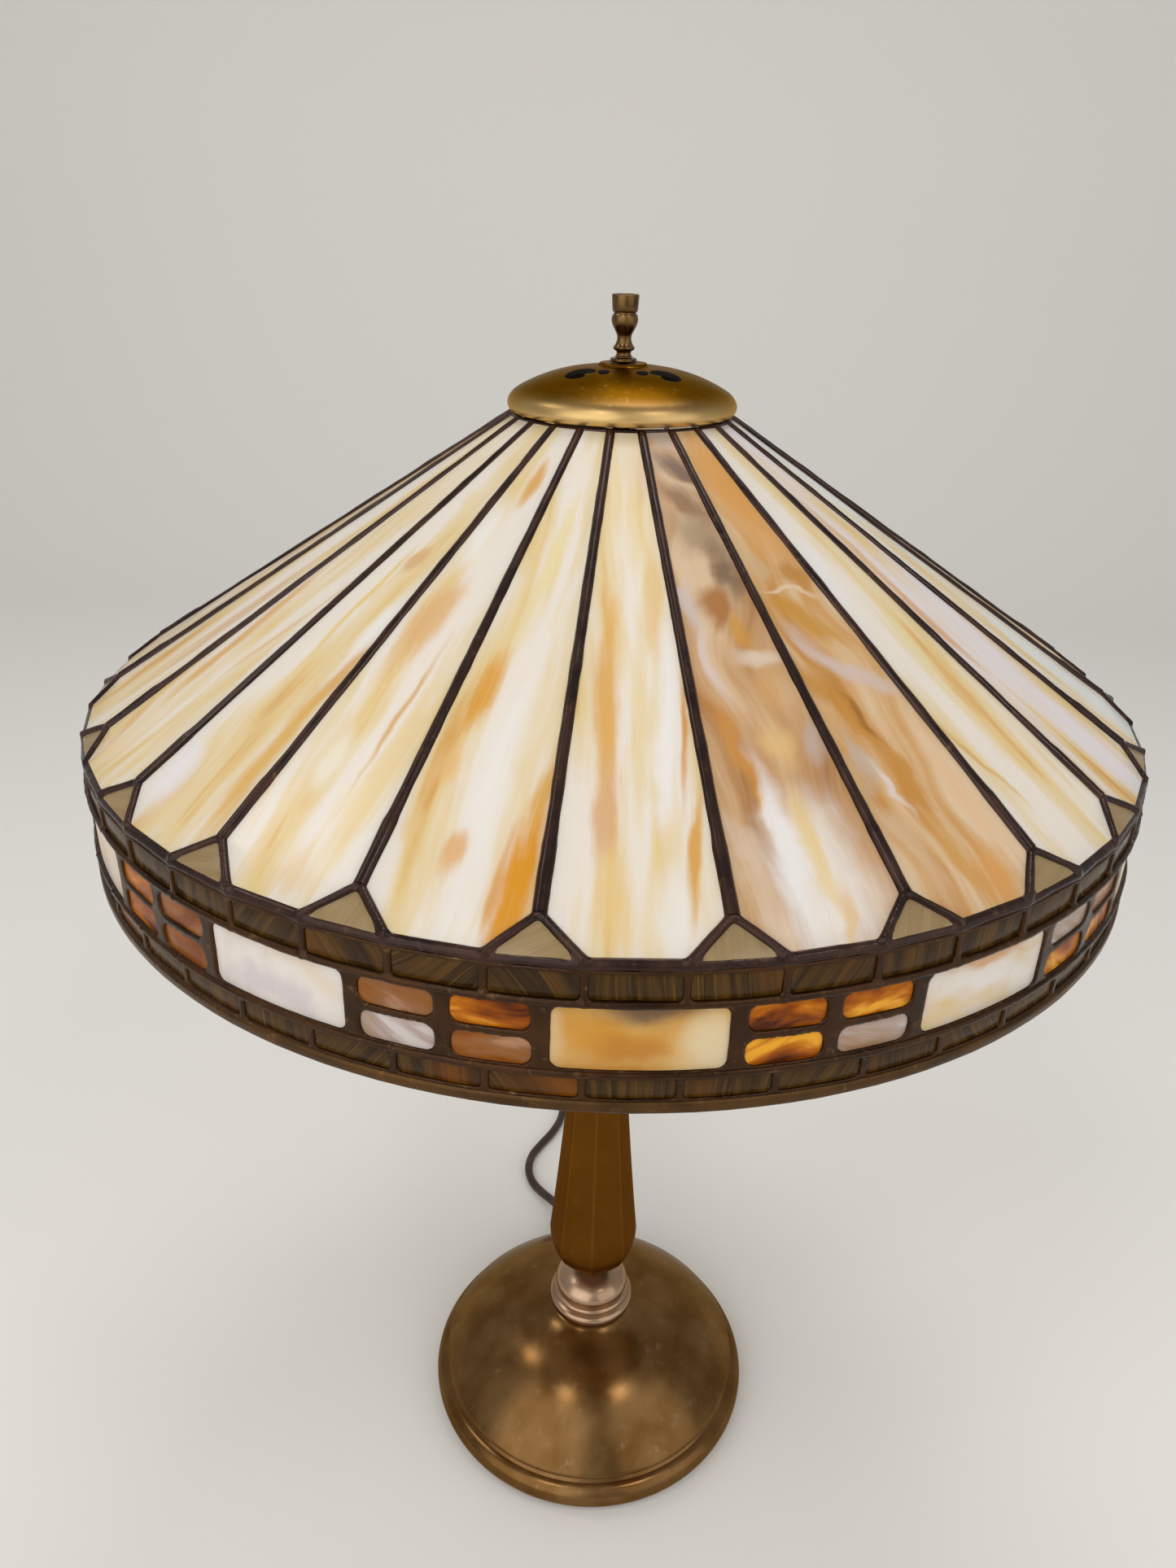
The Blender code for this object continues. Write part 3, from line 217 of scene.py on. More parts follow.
def arcPoints(centre, radius, start, stop, count):
    points = []
    for i in range(count + 1):
        angle = math.radians(start + (stop - start) * i / count)
        points.append((centre[0] + radius * math.cos(angle), centre[1] + radius * math.sin(angle)))
    return points


def throughPoints(points, steps):
    # smooth curve through every point, the bends scaled by the distance between points
    points = [Vector(point) for point in points]
    ways = []
    for i, point in enumerate(points):
        back = point - points[max(i - 1, 0)]
        onward = points[min(i + 1, len(points) - 1)] - point
        way = back.normalized() * onward.length + onward.normalized() * back.length
        ways.append(way.normalized() if way.length > 0.0 else (back + onward).normalized())
    route = []
    for i in range(len(points) - 1):
        start, stop = points[i], points[i + 1]
        length = (stop - start).length
        for step in range(steps):
            t = step / steps
            place = start * (1 + 2 * t) * (1 - t) ** 2 + stop * t ** 2 * (3 - 2 * t)
            bend = ways[i] * t * (1 - t) ** 2 - ways[i + 1] * t ** 2 * (1 - t)
            route.append(place + length * bend)
    route.append(points[-1])
    return route


def polar(radius, degrees, height):
    # degrees run from the front, towards the viewer's right
    angle = math.radians(degrees)
    return Vector((radius * math.sin(angle), -radius * math.cos(angle), height))


# Building finishes from nodes
def colourOf(code):
    parts = [int(code[i:i + 2], 16) / 255 for i in (1, 3, 5)]
    return tuple(((p + 0.055) / 1.055) ** 2.4 if p > 0.04045 else p / 12.92 for p in parts) + (1.0,)


def startFinish(name, roughness, metallic=0.0):
    finish = bpy.data.materials.new(name)
    finish.use_nodes = True
    shader = finish.node_tree.nodes["Principled BSDF"]
    shader.inputs["Roughness"].default_value = roughness
    shader.inputs["Metallic"].default_value = metallic
    return finish, finish.node_tree, shader


def addNode(tree, kind, inputs=None, **settings):
    made = tree.nodes.new("ShaderNode" + kind)
    for key, value in settings.items():
        setattr(made, key, value)
    for key, value in (inputs or {}).items():
        if isinstance(value, bpy.types.NodeSocket):
            tree.links.new(value, made.inputs[key])
        else:
            made.inputs[key].default_value = value
    return made


def coords(tree, space, scale=(1.0, 1.0, 1.0), place=(0.0, 0.0, 0.0), turn=0.0):
    source = addNode(tree, "TexCoord")
    mapping = addNode(tree, "Mapping", {"Vector": source.outputs[space], "Scale": scale,
                                        "Location": place, "Rotation": (0.0, 0.0, math.radians(turn))})
    return mapping.outputs["Vector"]


def stretched(tree, vector, scale, place=(0.0, 0.0, 0.0), turn=0.0):
    mapping = addNode(tree, "Mapping", {"Vector": vector, "Scale": scale, "Location": place,
                                        "Rotation": (0.0, 0.0, math.radians(turn))})
    return mapping.outputs["Vector"]


def noise(tree, vector, scale=1.0, detail=3.0, roughness=0.55, distortion=0.0):
    return addNode(tree, "TexNoise", {"Vector": vector, "Scale": scale, "Detail": detail,
                                      "Roughness": roughness, "Distortion": distortion}).outputs


def wandering(tree, vector, scale, amount):
    # the same coordinates, pushed about by a slow noise
    drift = noise(tree, vector, scale, 2.0)["Color"]
    return addNode(tree, "VectorMath", {0: drift, 1: (amount[0], amount[1], 0.0), 2: vector},
                   operation="MULTIPLY_ADD").outputs["Vector"]


def fade(tree, value, low, high, floor=0.0, top=1.0):
    step = addNode(tree, "MapRange", {"Value": value, "From Min": low, "From Max": high, "To Min": floor,
                                      "To Max": top}, interpolation_type="SMOOTHSTEP")
    return step.outputs["Result"]


def sums(tree, operation, first, second):
    return addNode(tree, "Math", {0: first, 1: second}, operation=operation).outputs["Value"]


def addUp(tree, terms):
    # a weighted sum of values
    total = 0.0
    for value, weight in terms:
        total = addNode(tree, "Math", {0: value, 1: weight, 2: total},
                        operation="MULTIPLY_ADD").outputs["Value"]
    return total


def tint(tree, share, first, second, mode="MIX"):
    return addNode(tree, "Mix", {0: share, 6: first, 7: second}, data_type="RGBA",
                   blend_type=mode).outputs[2]


def roughen(tree, shader, height, strength, distance):
    bump = addNode(tree, "Bump", {"Height": height, "Strength": strength, "Distance": distance})
    tree.links.new(bump.outputs["Normal"], shader.inputs["Normal"])


print("camera and tools ready")


# Cord: one run from the strain relief, then a tied coil behind the lamp, to the plug
cord = {"radius": 3.0 * mm, "exitAngle": 12.0, "exitLevel": 9.5 * mm, "mouth": 118.2 * mm,
        "floorLevel": 3.1 * mm, "coilCentre": (17.0 * mm, 300.0 * mm), "turns": 7.25,
        "innerRadius": 21.0 * mm, "pitch": 6.6 * mm, "layer": 6.6 * mm, "coilLevel": 5.1 * mm,
        "pointsPerTurn": 24, "leadOut": 44.0 * mm, "plugLevel": 8.8 * mm}
exitTurn = math.radians(cord["exitAngle"])
exitWay = Vector((-math.sin(exitTurn), math.cos(exitTurn), 0.0))
cordMouth = exitWay * cord["mouth"] + Vector((0.0, 0.0, cord["exitLevel"]))


def runPoints():
    outer = cord["innerRadius"] + cord["pitch"] * cord["turns"] / 2
    low = cord["floorLevel"]
    coilFoot = Vector((cord["coilCentre"][0] - outer, cord["coilCentre"][1] - 2 * cord["radius"],
                       cord["coilLevel"]))
    points = [cordMouth, cordMouth + exitWay * 2 * cord["radius"],
              Vector((-31.0 * mm, 131.0 * mm, 6.6 * mm)), Vector((-39.5 * mm, 141.5 * mm, 4.0 * mm)),
              Vector((-47.5 * mm, 152.5 * mm, low)), Vector((-51.5 * mm, 166.0 * mm, low)),
              Vector((-50.0 * mm, 180.0 * mm, low)), Vector((-43.5 * mm, 193.0 * mm, low)),
              Vector((-36.0 * mm, 206.0 * mm, low)), Vector((-30.5 * mm, 220.0 * mm, low)),
              Vector((-28.2 * mm, 236.0 * mm, low)), Vector((-28.0 * mm, 254.0 * mm, low)),
              coilFoot - Vector((0.0, 20.0 * mm, 0.6 * mm)), coilFoot]
    return throughPoints(points, 3)


def coilPoints():
    points = []
    middle = cord["turns"] / 2
    steps = round(cord["turns"] * cord["pointsPerTurn"])
    for i in range(steps + 1):
        turns = cord["turns"] * i / steps
        angle = math.pi - math.tau * turns
        radius = cord["innerRadius"] + cord["pitch"] * abs(turns - middle)
        climb = min(1.0, max(0.0, (turns - middle) * 2.0 + 0.5))
        height = cord["coilLevel"] + cord["layer"] * (3.0 * climb ** 2 - 2.0 * climb ** 3)
        spoke = Vector((math.cos(angle), math.sin(angle), 0.0)) * radius
        points.append(Vector((*cord["coilCentre"], height)) + spoke)
    last = points[-1]
    endAngle = math.pi - math.tau * cord["turns"]
    wayOut = Vector((math.sin(endAngle), -math.cos(endAngle), 0.0))
    drop = Vector((0.0, 0.0, cord["plugLevel"] - last.z))
    points.append(last + wayOut * cord["leadOut"] * 0.4 + drop * 0.4)
    points.append(last + wayOut * (cord["leadOut"] - 2 * cord["radius"]) + drop)
    points.append(last + wayOut * cord["leadOut"] + drop)
    return points, wayOut


def rubberFinish(name, dark, light, roughness):
    finish, tree, shader = startFinish(name, roughness)
    place = coords(tree, "Object")
    mottle = noise(tree, place, 90.0, 4.0)["Fac"]
    grain = noise(tree, place, 1400.0, 2.0)["Fac"]
    tree.links.new(tint(tree, fade(tree, mottle, 0.35, 0.7), colourOf(dark), colourOf(light)),
                   shader.inputs["Base Color"])
    tree.links.new(fade(tree, mottle, 0.3, 0.7, roughness - 0.06, roughness + 0.1),
                   shader.inputs["Roughness"])
    roughen(tree, shader, grain, 0.25, 0.15 * mm)
    return finish


coilRoute, coilWayOut = coilPoints()
cordRoute = runPoints() + coilRoute


def bezierThrough(name, points, dimensions, resolution):
    curve = bpy.data.curves.new(name, "CURVE")
    curve.dimensions = dimensions
    curve.resolution_u = resolution
    spline = curve.splines.new("BEZIER")
    spline.bezier_points.add(len(points) - 1)
    for point, place in zip(spline.bezier_points, points):
        point.co = place
        point.handle_left_type = "AUTO"
        point.handle_right_type = "AUTO"
    piece = bpy.data.objects.new(name, curve)
    bpy.context.scene.collection.objects.link(piece)
    return piece


def addCord():
    piece = bezierThrough("cord", cordRoute, "3D", 3)
    piece.data.bevel_depth = cord["radius"]
    piece.data.bevel_resolution = 4
    piece.data.use_fill_caps = True
    return piece


cordCover = rubberFinish("cord_cover", "#2c1711", "#44281d", 0.42)
cordPiece = addCord()
seat(cordPiece, cordCover, "stand", "cord_cover", "cord_run", "cord_coil")

# Strain relief: a collar against the base and a ribbed taper
relief = {"start": 85.2 * mm, "seat": 96.4 * mm, "end": 117.9 * mm, "stem": 4.7 * mm, "collar": 6.2 * mm,
          "collarLength": 3.5 * mm, "root": 5.2 * mm, "tip": 3.8 * mm, "bore": 3.05 * mm, "ribs": 5,
          "ribDepth": 0.55 * mm, "corner": 0.8 * mm, "socket": 1.5 * mm}


def addRelief():
    taperStart = relief["seat"] + relief["collarLength"]
    taperLength = relief["end"] - taperStart
    profile = [(0.0, relief["start"]), (relief["stem"], relief["start"]),
               (relief["stem"], relief["seat"])]
    corner = relief["corner"]
    profile += arcPoints((relief["collar"] - corner, relief["seat"] + corner), corner, -90.0, 0.0, 3)
    profile += arcPoints((relief["collar"] - corner, taperStart - corner), corner, 0.0, 90.0, 3)
    ringSteps = 8
    for i in range(relief["ribs"] * ringSteps + 1):
        share = i / (relief["ribs"] * ringSteps)
        swell = relief["ribDepth"] * (0.5 - 0.5 * math.cos(math.tau * i / ringSteps))
        profile.append((relief["root"] + (relief["tip"] - relief["root"]) * share - swell,
                        taperStart + taperLength * share))
    inside = relief["end"] - relief["socket"]
    profile += [(relief["bore"], relief["end"]), (relief["bore"], inside), (0.0, inside)]
    piece = turned("strain_relief_boot", profile, 40)
    outAlong = exitWay.to_track_quat("Z", "Y").to_matrix().to_4x4()
    piece.matrix_world = Matrix.Translation((0.0, 0.0, cord["exitLevel"])) @ outAlong
    setDown(piece)
    smooth(piece, 50.0)
    return piece


reliefRubber = rubberFinish("relief_rubber", "#1e1310", "#2f211b", 0.5)
reliefPiece = addRelief()
seat(reliefPiece, reliefRubber, "stand", "cord_cover", "strain_relief")

# Tie: a flat strap round one side of the coil
tie = {"inner": 17.5 * mm, "outer": 48.4 * mm, "low": 1.6 * mm, "high": 15.2 * mm, "strap": 1.0 * mm,
       "wide": 9.0 * mm}


def addTie():
    piece = startBlock("cord_strap")
    strap = tie["strap"]
    size = (tie["outer"] - tie["inner"] + 2 * strap, tie["wide"], tie["high"] - tie["low"] + 2 * strap)
    bpy.ops.transform.resize(value=size)
    pickFaces(piece, lambda middle, normal: abs(normal.y) > 0.9)
    bpy.ops.mesh.delete(type="FACE")
    pickEdges(piece, lambda a, b: abs(a.y - b.y) > 5 * mm)
    bpy.ops.mesh.bevel(offset=2.0 * mm, segments=5)
    middle = (tie["inner"] + tie["outer"]) / 2 + cord["coilCentre"][0]
    bpy.ops.mesh.select_all(action="SELECT")
    bpy.ops.transform.translate(value=(middle, cord["coilCentre"][1], (tie["low"] + tie["high"]) / 2))
    bpy.ops.mesh.normals_make_consistent(inside=False)
    bpy.ops.object.mode_set(mode="OBJECT")
    applyModifier(piece, "SOLIDIFY", thickness=strap, offset=-1.0, use_even_offset=True)
    softenEdges(piece, 0.25 * mm)
    smooth(piece)
    return piece


tieFinish = rubberFinish("strap_rubber", "#121111", "#1f1d1c", 0.6)
tiePiece = addTie()
seat(tiePiece, tieFinish, "stand", "tie", "cord_tie")

# Plug: a moulded body with a drawn-in neck, finger ribs and two flat blades
plug = {"size": (28.0 * mm, 20.0 * mm, 17.0 * mm), "round": 3.0 * mm,
        "bladeSize": (17.0 * mm, 1.5 * mm, 6.3 * mm), "bladeSpacing": 12.7 * mm, "ribs": 4,
        "ribStep": 4.2 * mm, "ribHalf": 1.1 * mm}


def addPlug():
    length, wide, high = plug["size"]
    piece = startBlock("plug_body")
    bpy.ops.transform.resize(value=(length, wide, high))
    pickFaces(piece, lambda middle, normal: normal.x < -0.9)
    bpy.ops.transform.resize(value=(1.0, 0.62, 0.62))
    bpy.ops.mesh.inset(thickness=2.0 * mm)
    bpy.ops.transform.translate(value=(1.0 * mm, 0.0, 0.0))
    ribBands = [-length * 0.28 + i * plug["ribStep"] for i in range(plug["ribs"])]
    for band in ribBands:
        for offset in (-plug["ribHalf"], plug["ribHalf"]):
            bpy.ops.mesh.select_all(action="SELECT")
            bpy.ops.mesh.bisect(plane_co=(band + offset, 0, 0), plane_no=(1, 0, 0))

    def onRib(middle, normal):
        near = min(abs(middle.x - band) for band in ribBands) < 0.6 * mm
        return near and abs(normal.y) > 0.7
    pickFaces(piece, onRib)
    bpy.ops.mesh.inset(thickness=0.4 * mm, depth=-0.7 * mm, use_individual=True)
    bpy.ops.object.mode_set(mode="OBJECT")
    applyModifier(piece, "BEVEL", width=plug["round"] * 0.5, segments=3, limit_method="ANGLE",
                  angle_limit=math.radians(55), use_clamp_overlap=True)
    blades = []
    for side in (-1.0, 1.0):
        blade = startBlock("plug_blade")
        bpy.ops.transform.resize(value=plug["bladeSize"])
        pickFaces(blade, lambda middle, normal: normal.x > 0.9)
        bpy.ops.transform.resize(value=(1.0, 0.5, 0.75))
        bpy.ops.mesh.select_all(action="SELECT")
        reach = (length + plug["bladeSize"][0]) / 2 - 1.0 * mm
        bpy.ops.transform.translate(value=(reach, side * plug["bladeSpacing"] / 2, 0.0))
        bpy.ops.object.mode_set(mode="OBJECT")
        applyModifier(blade, "BEVEL", width=0.25 * mm, segments=2)
        blades.append(blade)
    bladePair = joined(blades, "plug_blades")
    near = coilRoute[-1] + coilWayOut * 0.3 * mm
    heading = Matrix.Rotation(math.atan2(coilWayOut.y, coilWayOut.x), 4, "Z")
    ahead = Matrix.Translation((length / 2, 0.0, 0.0))
    for part in (piece, bladePair):
        part.matrix_world = Matrix.Translation(near) @ heading @ ahead
        setDown(part)
        smooth(part)
    return piece, bladePair


plugFinish = rubberFinish("plug_plastic", "#22130f", "#33211a", 0.38)
plugPiece, plugBlades = addPlug()
seat(plugPiece, plugFinish, "stand", "plug_plastic", "plug")
print("relief, tie and plug made")


# Metals: mottled patina, brighter where the finish has worn; some add painted highlights along arrises and
# near a rim
def agedMetal(name, look):
    finish, tree, shader = startFinish(name, look["roughness"], look["metallic"])
    shader.inputs["Coat Weight"].default_value = look["lacquer"]
    shader.inputs["Coat Roughness"].default_value = 0.14
    if "grazed" in look:  # colour at a grazing angle
        shader.inputs["Specular Tint"].default_value = colourOf(look["grazed"])
    place = coords(tree, "Object")
    cloud = noise(tree, wandering(tree, place, 14.0, (0.02, 0.02)), look["mottle"], 3.0, 0.5)["Fac"]
    speck = noise(tree, place, look["speck"], 4.0, 0.7)["Fac"]
    colour = tint(tree, fade(tree, cloud, 0.25, 0.75), colourOf(look["dark"]), colourOf(look["mid"]))
    colour = tint(tree, fade(tree, speck, 0.56, 0.78, 0.0, look["wear"]), colour,
                  colourOf(look["bright"]))
    if "sides" in look:  # the arrises between flat sides are painted lighter: a painted highlight along each arris
        around = addNode(tree, "TexGradient", {"Vector": place}, gradient_type="RADIAL").outputs["Fac"]
        apart = sums(tree, "PINGPONG", sums(tree, "MULTIPLY", around, look["sides"]), 0.5)
        colour = tint(tree, fade(tree, apart, 0.07, 0.0, 0.0, 0.22), colour, colourOf(look["bright"]))
    if "glow" in look:  # a band of levels near the rim painted lighter: a painted highlight where the rim catches the light
        height = addNode(tree, "SeparateXYZ", {0: place}).outputs["Z"]
        rimHighlightShare = fade(tree, height, look["glow"][1], look["glow"][0], 0.0, look["glow"][2])
        colour = tint(tree, rimHighlightShare, colour, colourOf(look["bright"]))
    tree.links.new(colour, shader.inputs["Base Color"])
    spread = look["spread"]
    tree.links.new(fade(tree, cloud, 0.3, 0.7, look["roughness"] - spread, look["roughness"] + spread),
                   shader.inputs["Roughness"])
    pits = noise(tree, place, look["grain"], 3.0, 0.6)["Fac"]
    roughen(tree, shader, pits, look["bump"], 0.2 * mm)
    return finish


patina = {"lacquer": 0.0, "metallic": 1.0, "roughness": 0.34, "spread": 0.1, "mottle": 60.0,
          "speck": 260.0, "wear": 0.3, "grain": 700.0, "bump": 0.05}


def worn(**changes):
    return {**patina, **changes}


metals = {
    "came": worn(dark="#22110a", mid="#3a2014", bright="#6e4c38", metallic=0.55, roughness=0.28,
                 spread=0.08, speck=240.0, wear=0.5, grain=900.0, bump=0.14),
    "solder": worn(dark="#2a1503", mid="#442706", bright="#80603a", metallic=0.7, mottle=45.0,
                   speck=210.0, wear=0.6, bump=0.22),
    "rim": worn(dark="#3c2810", mid="#5a3e1e", bright="#8a6638", metallic=0.8, roughness=0.36,
                mottle=50.0, speck=160.0, wear=0.5, bump=0.18),
    # the cap's brass carries a painted highlight in a band just above the rim
    "capBrass": worn(dark="#54350c", mid="#6c4814", bright="#e8c484", grazed="#dcc6a2", spread=0.05,
                     mottle=45.0, speck=330.0, wear=0.2, grain=1100.0, bump=0.06,
                     glow=(0.5935, 0.6035, 0.9)),
    "finialBrass": worn(dark="#584228", mid="#765a36", bright="#a98d68", roughness=0.3, spread=0.08,
                        mottle=160.0, speck=420.0, wear=0.4, grain=1300.0, bump=0.1),
    "baseBronze": worn(dark="#62421c", mid="#7e5e38", bright="#a88c6e", lacquer=0.06, metallic=0.9,
                       roughness=0.24, spread=0.04, mottle=40.0, speck=120.0, wear=0.35, grain=800.0,
                       grazed="#d2c2aa"),
    # the collar: a paler copy of the base bronze, its extra lightness a painted reflection of the bright
    # inside of the lamp shade
    "collarBronzePaintedLight": worn(dark="#9c7e64", mid="#b6987c", bright="#dcc4a6", grazed="#d0b89c", lacquer=0.06,
                         metallic=0.9, roughness=0.25, spread=0.03, mottle=40.0, speck=140.0,
                         grain=800.0),
    # the column's bronze adds a painted highlight along its arrises
    "columnBronze": worn(dark="#5c380e", mid="#6c4412", bright="#98682c", grazed="#ccb698", metallic=0.95,
                         roughness=0.38, spread=0.04, mottle=18.0, speck=130.0, wear=0.2, grain=900.0,
                         sides=8.0),
    "brass": worn(dark="#6b4f24", mid="#8d6c36", bright="#b8965a", spread=0.07, grain=1100.0, bump=0.08),
    "steel": worn(dark="#6f6c66", mid="#8f8c85", bright="#b9b6ae", roughness=0.36, spread=0.07,
                  mottle=70.0, grain=1200.0, bump=0.08),
    "iron": worn(dark="#1f1e1d", mid="#33302e", bright="#5a4a3c", metallic=0.6, roughness=0.75,
                 speck=150.0, wear=0.5, grain=420.0, bump=0.5),
    # painted shade: a near-black finish for the cap's vent walls and underside, where shade falls
    "paintedVentShade": worn(dark="#0d0906", mid="#1a120b", bright="#2c2014", metallic=0.3, roughness=0.8,
                 speck=200.0, bump=0.2),
}
metal = {name: agedMetal(name, look) for name, look in metals.items()}


# Opal glass: streaks that run down the piece, with patches of stronger colour where they were poured
def opalGlass(name, look):
    finish, tree, shader = startFinish(name, 0.16)
    shader.inputs["Specular IOR Level"].default_value = look["gloss"]
    seed, lean = look["seed"], look["lean"]
    across, along = look["grain"]
    sheet = coords(tree, "UV", place=(seed * 3.7, seed * 5.3, 0.0))
    flow = wandering(tree, sheet, 0.9, (look["wander"], look["wander"] * 0.6))

    def grained(closer, shorter, detail, roughness):
        grain = stretched(tree, flow, (across * closer, along * shorter, 1.0), turn=lean)
        return noise(tree, grain, 1.0, detail, roughness)["Fac"]
    broad = grained(1.0, 1.0, 3.0, 0.5)
    cloud = grained(1.7, 3.4, 5.0, 0.58)
    fine = grained(4.5, 1.6, 4.0, 0.6)
    hair = grained(14.0, 2.2, 3.0, 0.6)
    silky = addUp(tree, ((broad, 1.0), (cloud, 0.2), (fine, 0.15)))
    ramp = addNode(tree, "ValToRGB", {"Fac": silky})
    reached = 0.98 - 0.3 * look["amberShare"]
    stops = ramp.color_ramp.elements
    stops[0].position, stops[0].color = reached - 0.29, colourOf(look["white"])
    stops[1].position, stops[1].color = reached, colourOf(look["amber"])
    for below, key in ((0.2, "cream"), (0.1, "yellow")):
        stops.new(reached - below).color = colourOf(look[key])
    colour = ramp.outputs["Color"]
    sway = 0.3 * look["wander"]
    swirl = 0.25 * look["wander"]
    drift = wandering(tree, wandering(tree, coords(tree, "UV"), 1.6, (sway, 0.3)), 5.0, (swirl, swirl))
    for patchColour, right, down, halfWide, halfLong, tilt, strength in look["patches"]:
        middle = (right / 100 + (sway + swirl) / 2, down / 100 + 0.15 + swirl / 2, 0.0)
        spot = addNode(tree, "Mapping", {"Vector": drift, "Location": middle,
                                         "Rotation": (0.0, 0.0, -math.radians(tilt)),
                                         "Scale": (halfWide / 100, halfLong / 100, 1.0)},
                       vector_type="TEXTURE")
        reach = addNode(tree, "VectorMath", {0: spot.outputs["Vector"]},
                        operation="LENGTH").outputs["Value"]
        torn = addUp(tree, ((reach, 1.0), (cloud, -look["tear"]), (fine, -0.4 * look["tear"])))
        edge = 1.0 - 0.7 * look["tear"]
        colour = tint(tree, fade(tree, torn, edge + 0.1, edge - 0.75, 0.0, strength), colour,
                      colourOf(patchColour))
    colour = tint(tree, fade(tree, hair, 0.54, 0.8, 0.0, look["hair"]), colour, colourOf(look["white"]))
    colour = tint(tree, fade(tree, hair, 0.46, 0.22, 0.0, look["hair"]), colour, colourOf(look["vein"]))
    tree.links.new(colour, shader.inputs["Base Color"])
    through = addNode(tree, "BsdfTranslucent", {"Color": colour})
    both = addNode(tree, "MixShader", {0: look["soak"], 1: shader.outputs["BSDF"],
                                       2: through.outputs["BSDF"]})
    tree.links.new(both.outputs["Shader"], tree.nodes["Material Output"].inputs["Surface"])
    ripple = noise(tree, stretched(tree, sheet, (3.0, 1.4, 1.0)), 1.0, 2.0)["Fac"]
    tree.links.new(fade(tree, ripple, 0.3, 0.7, 0.22, 0.34), shader.inputs["Roughness"])
    roughen(tree, shader, sums(tree, "ADD", ripple, cloud), 0.06, 1.0 * mm)
    return finish


glassTones = {"white": "#f3ebdf", "cream": "#f0e0bf", "yellow": "#edd499", "amber": "#e2ae62",
              "vein": "#d6b580", "seed": 1.0, "wander": 0.14, "lean": 0.0, "grain": (7.0, 0.7),
              "hair": 0.16, "tear": 1.3, "amberShare": 0.45, "soak": 0.3, "gloss": 0.36, "patches": []}


def toned(**changes):
    return {**glassTones, **changes}


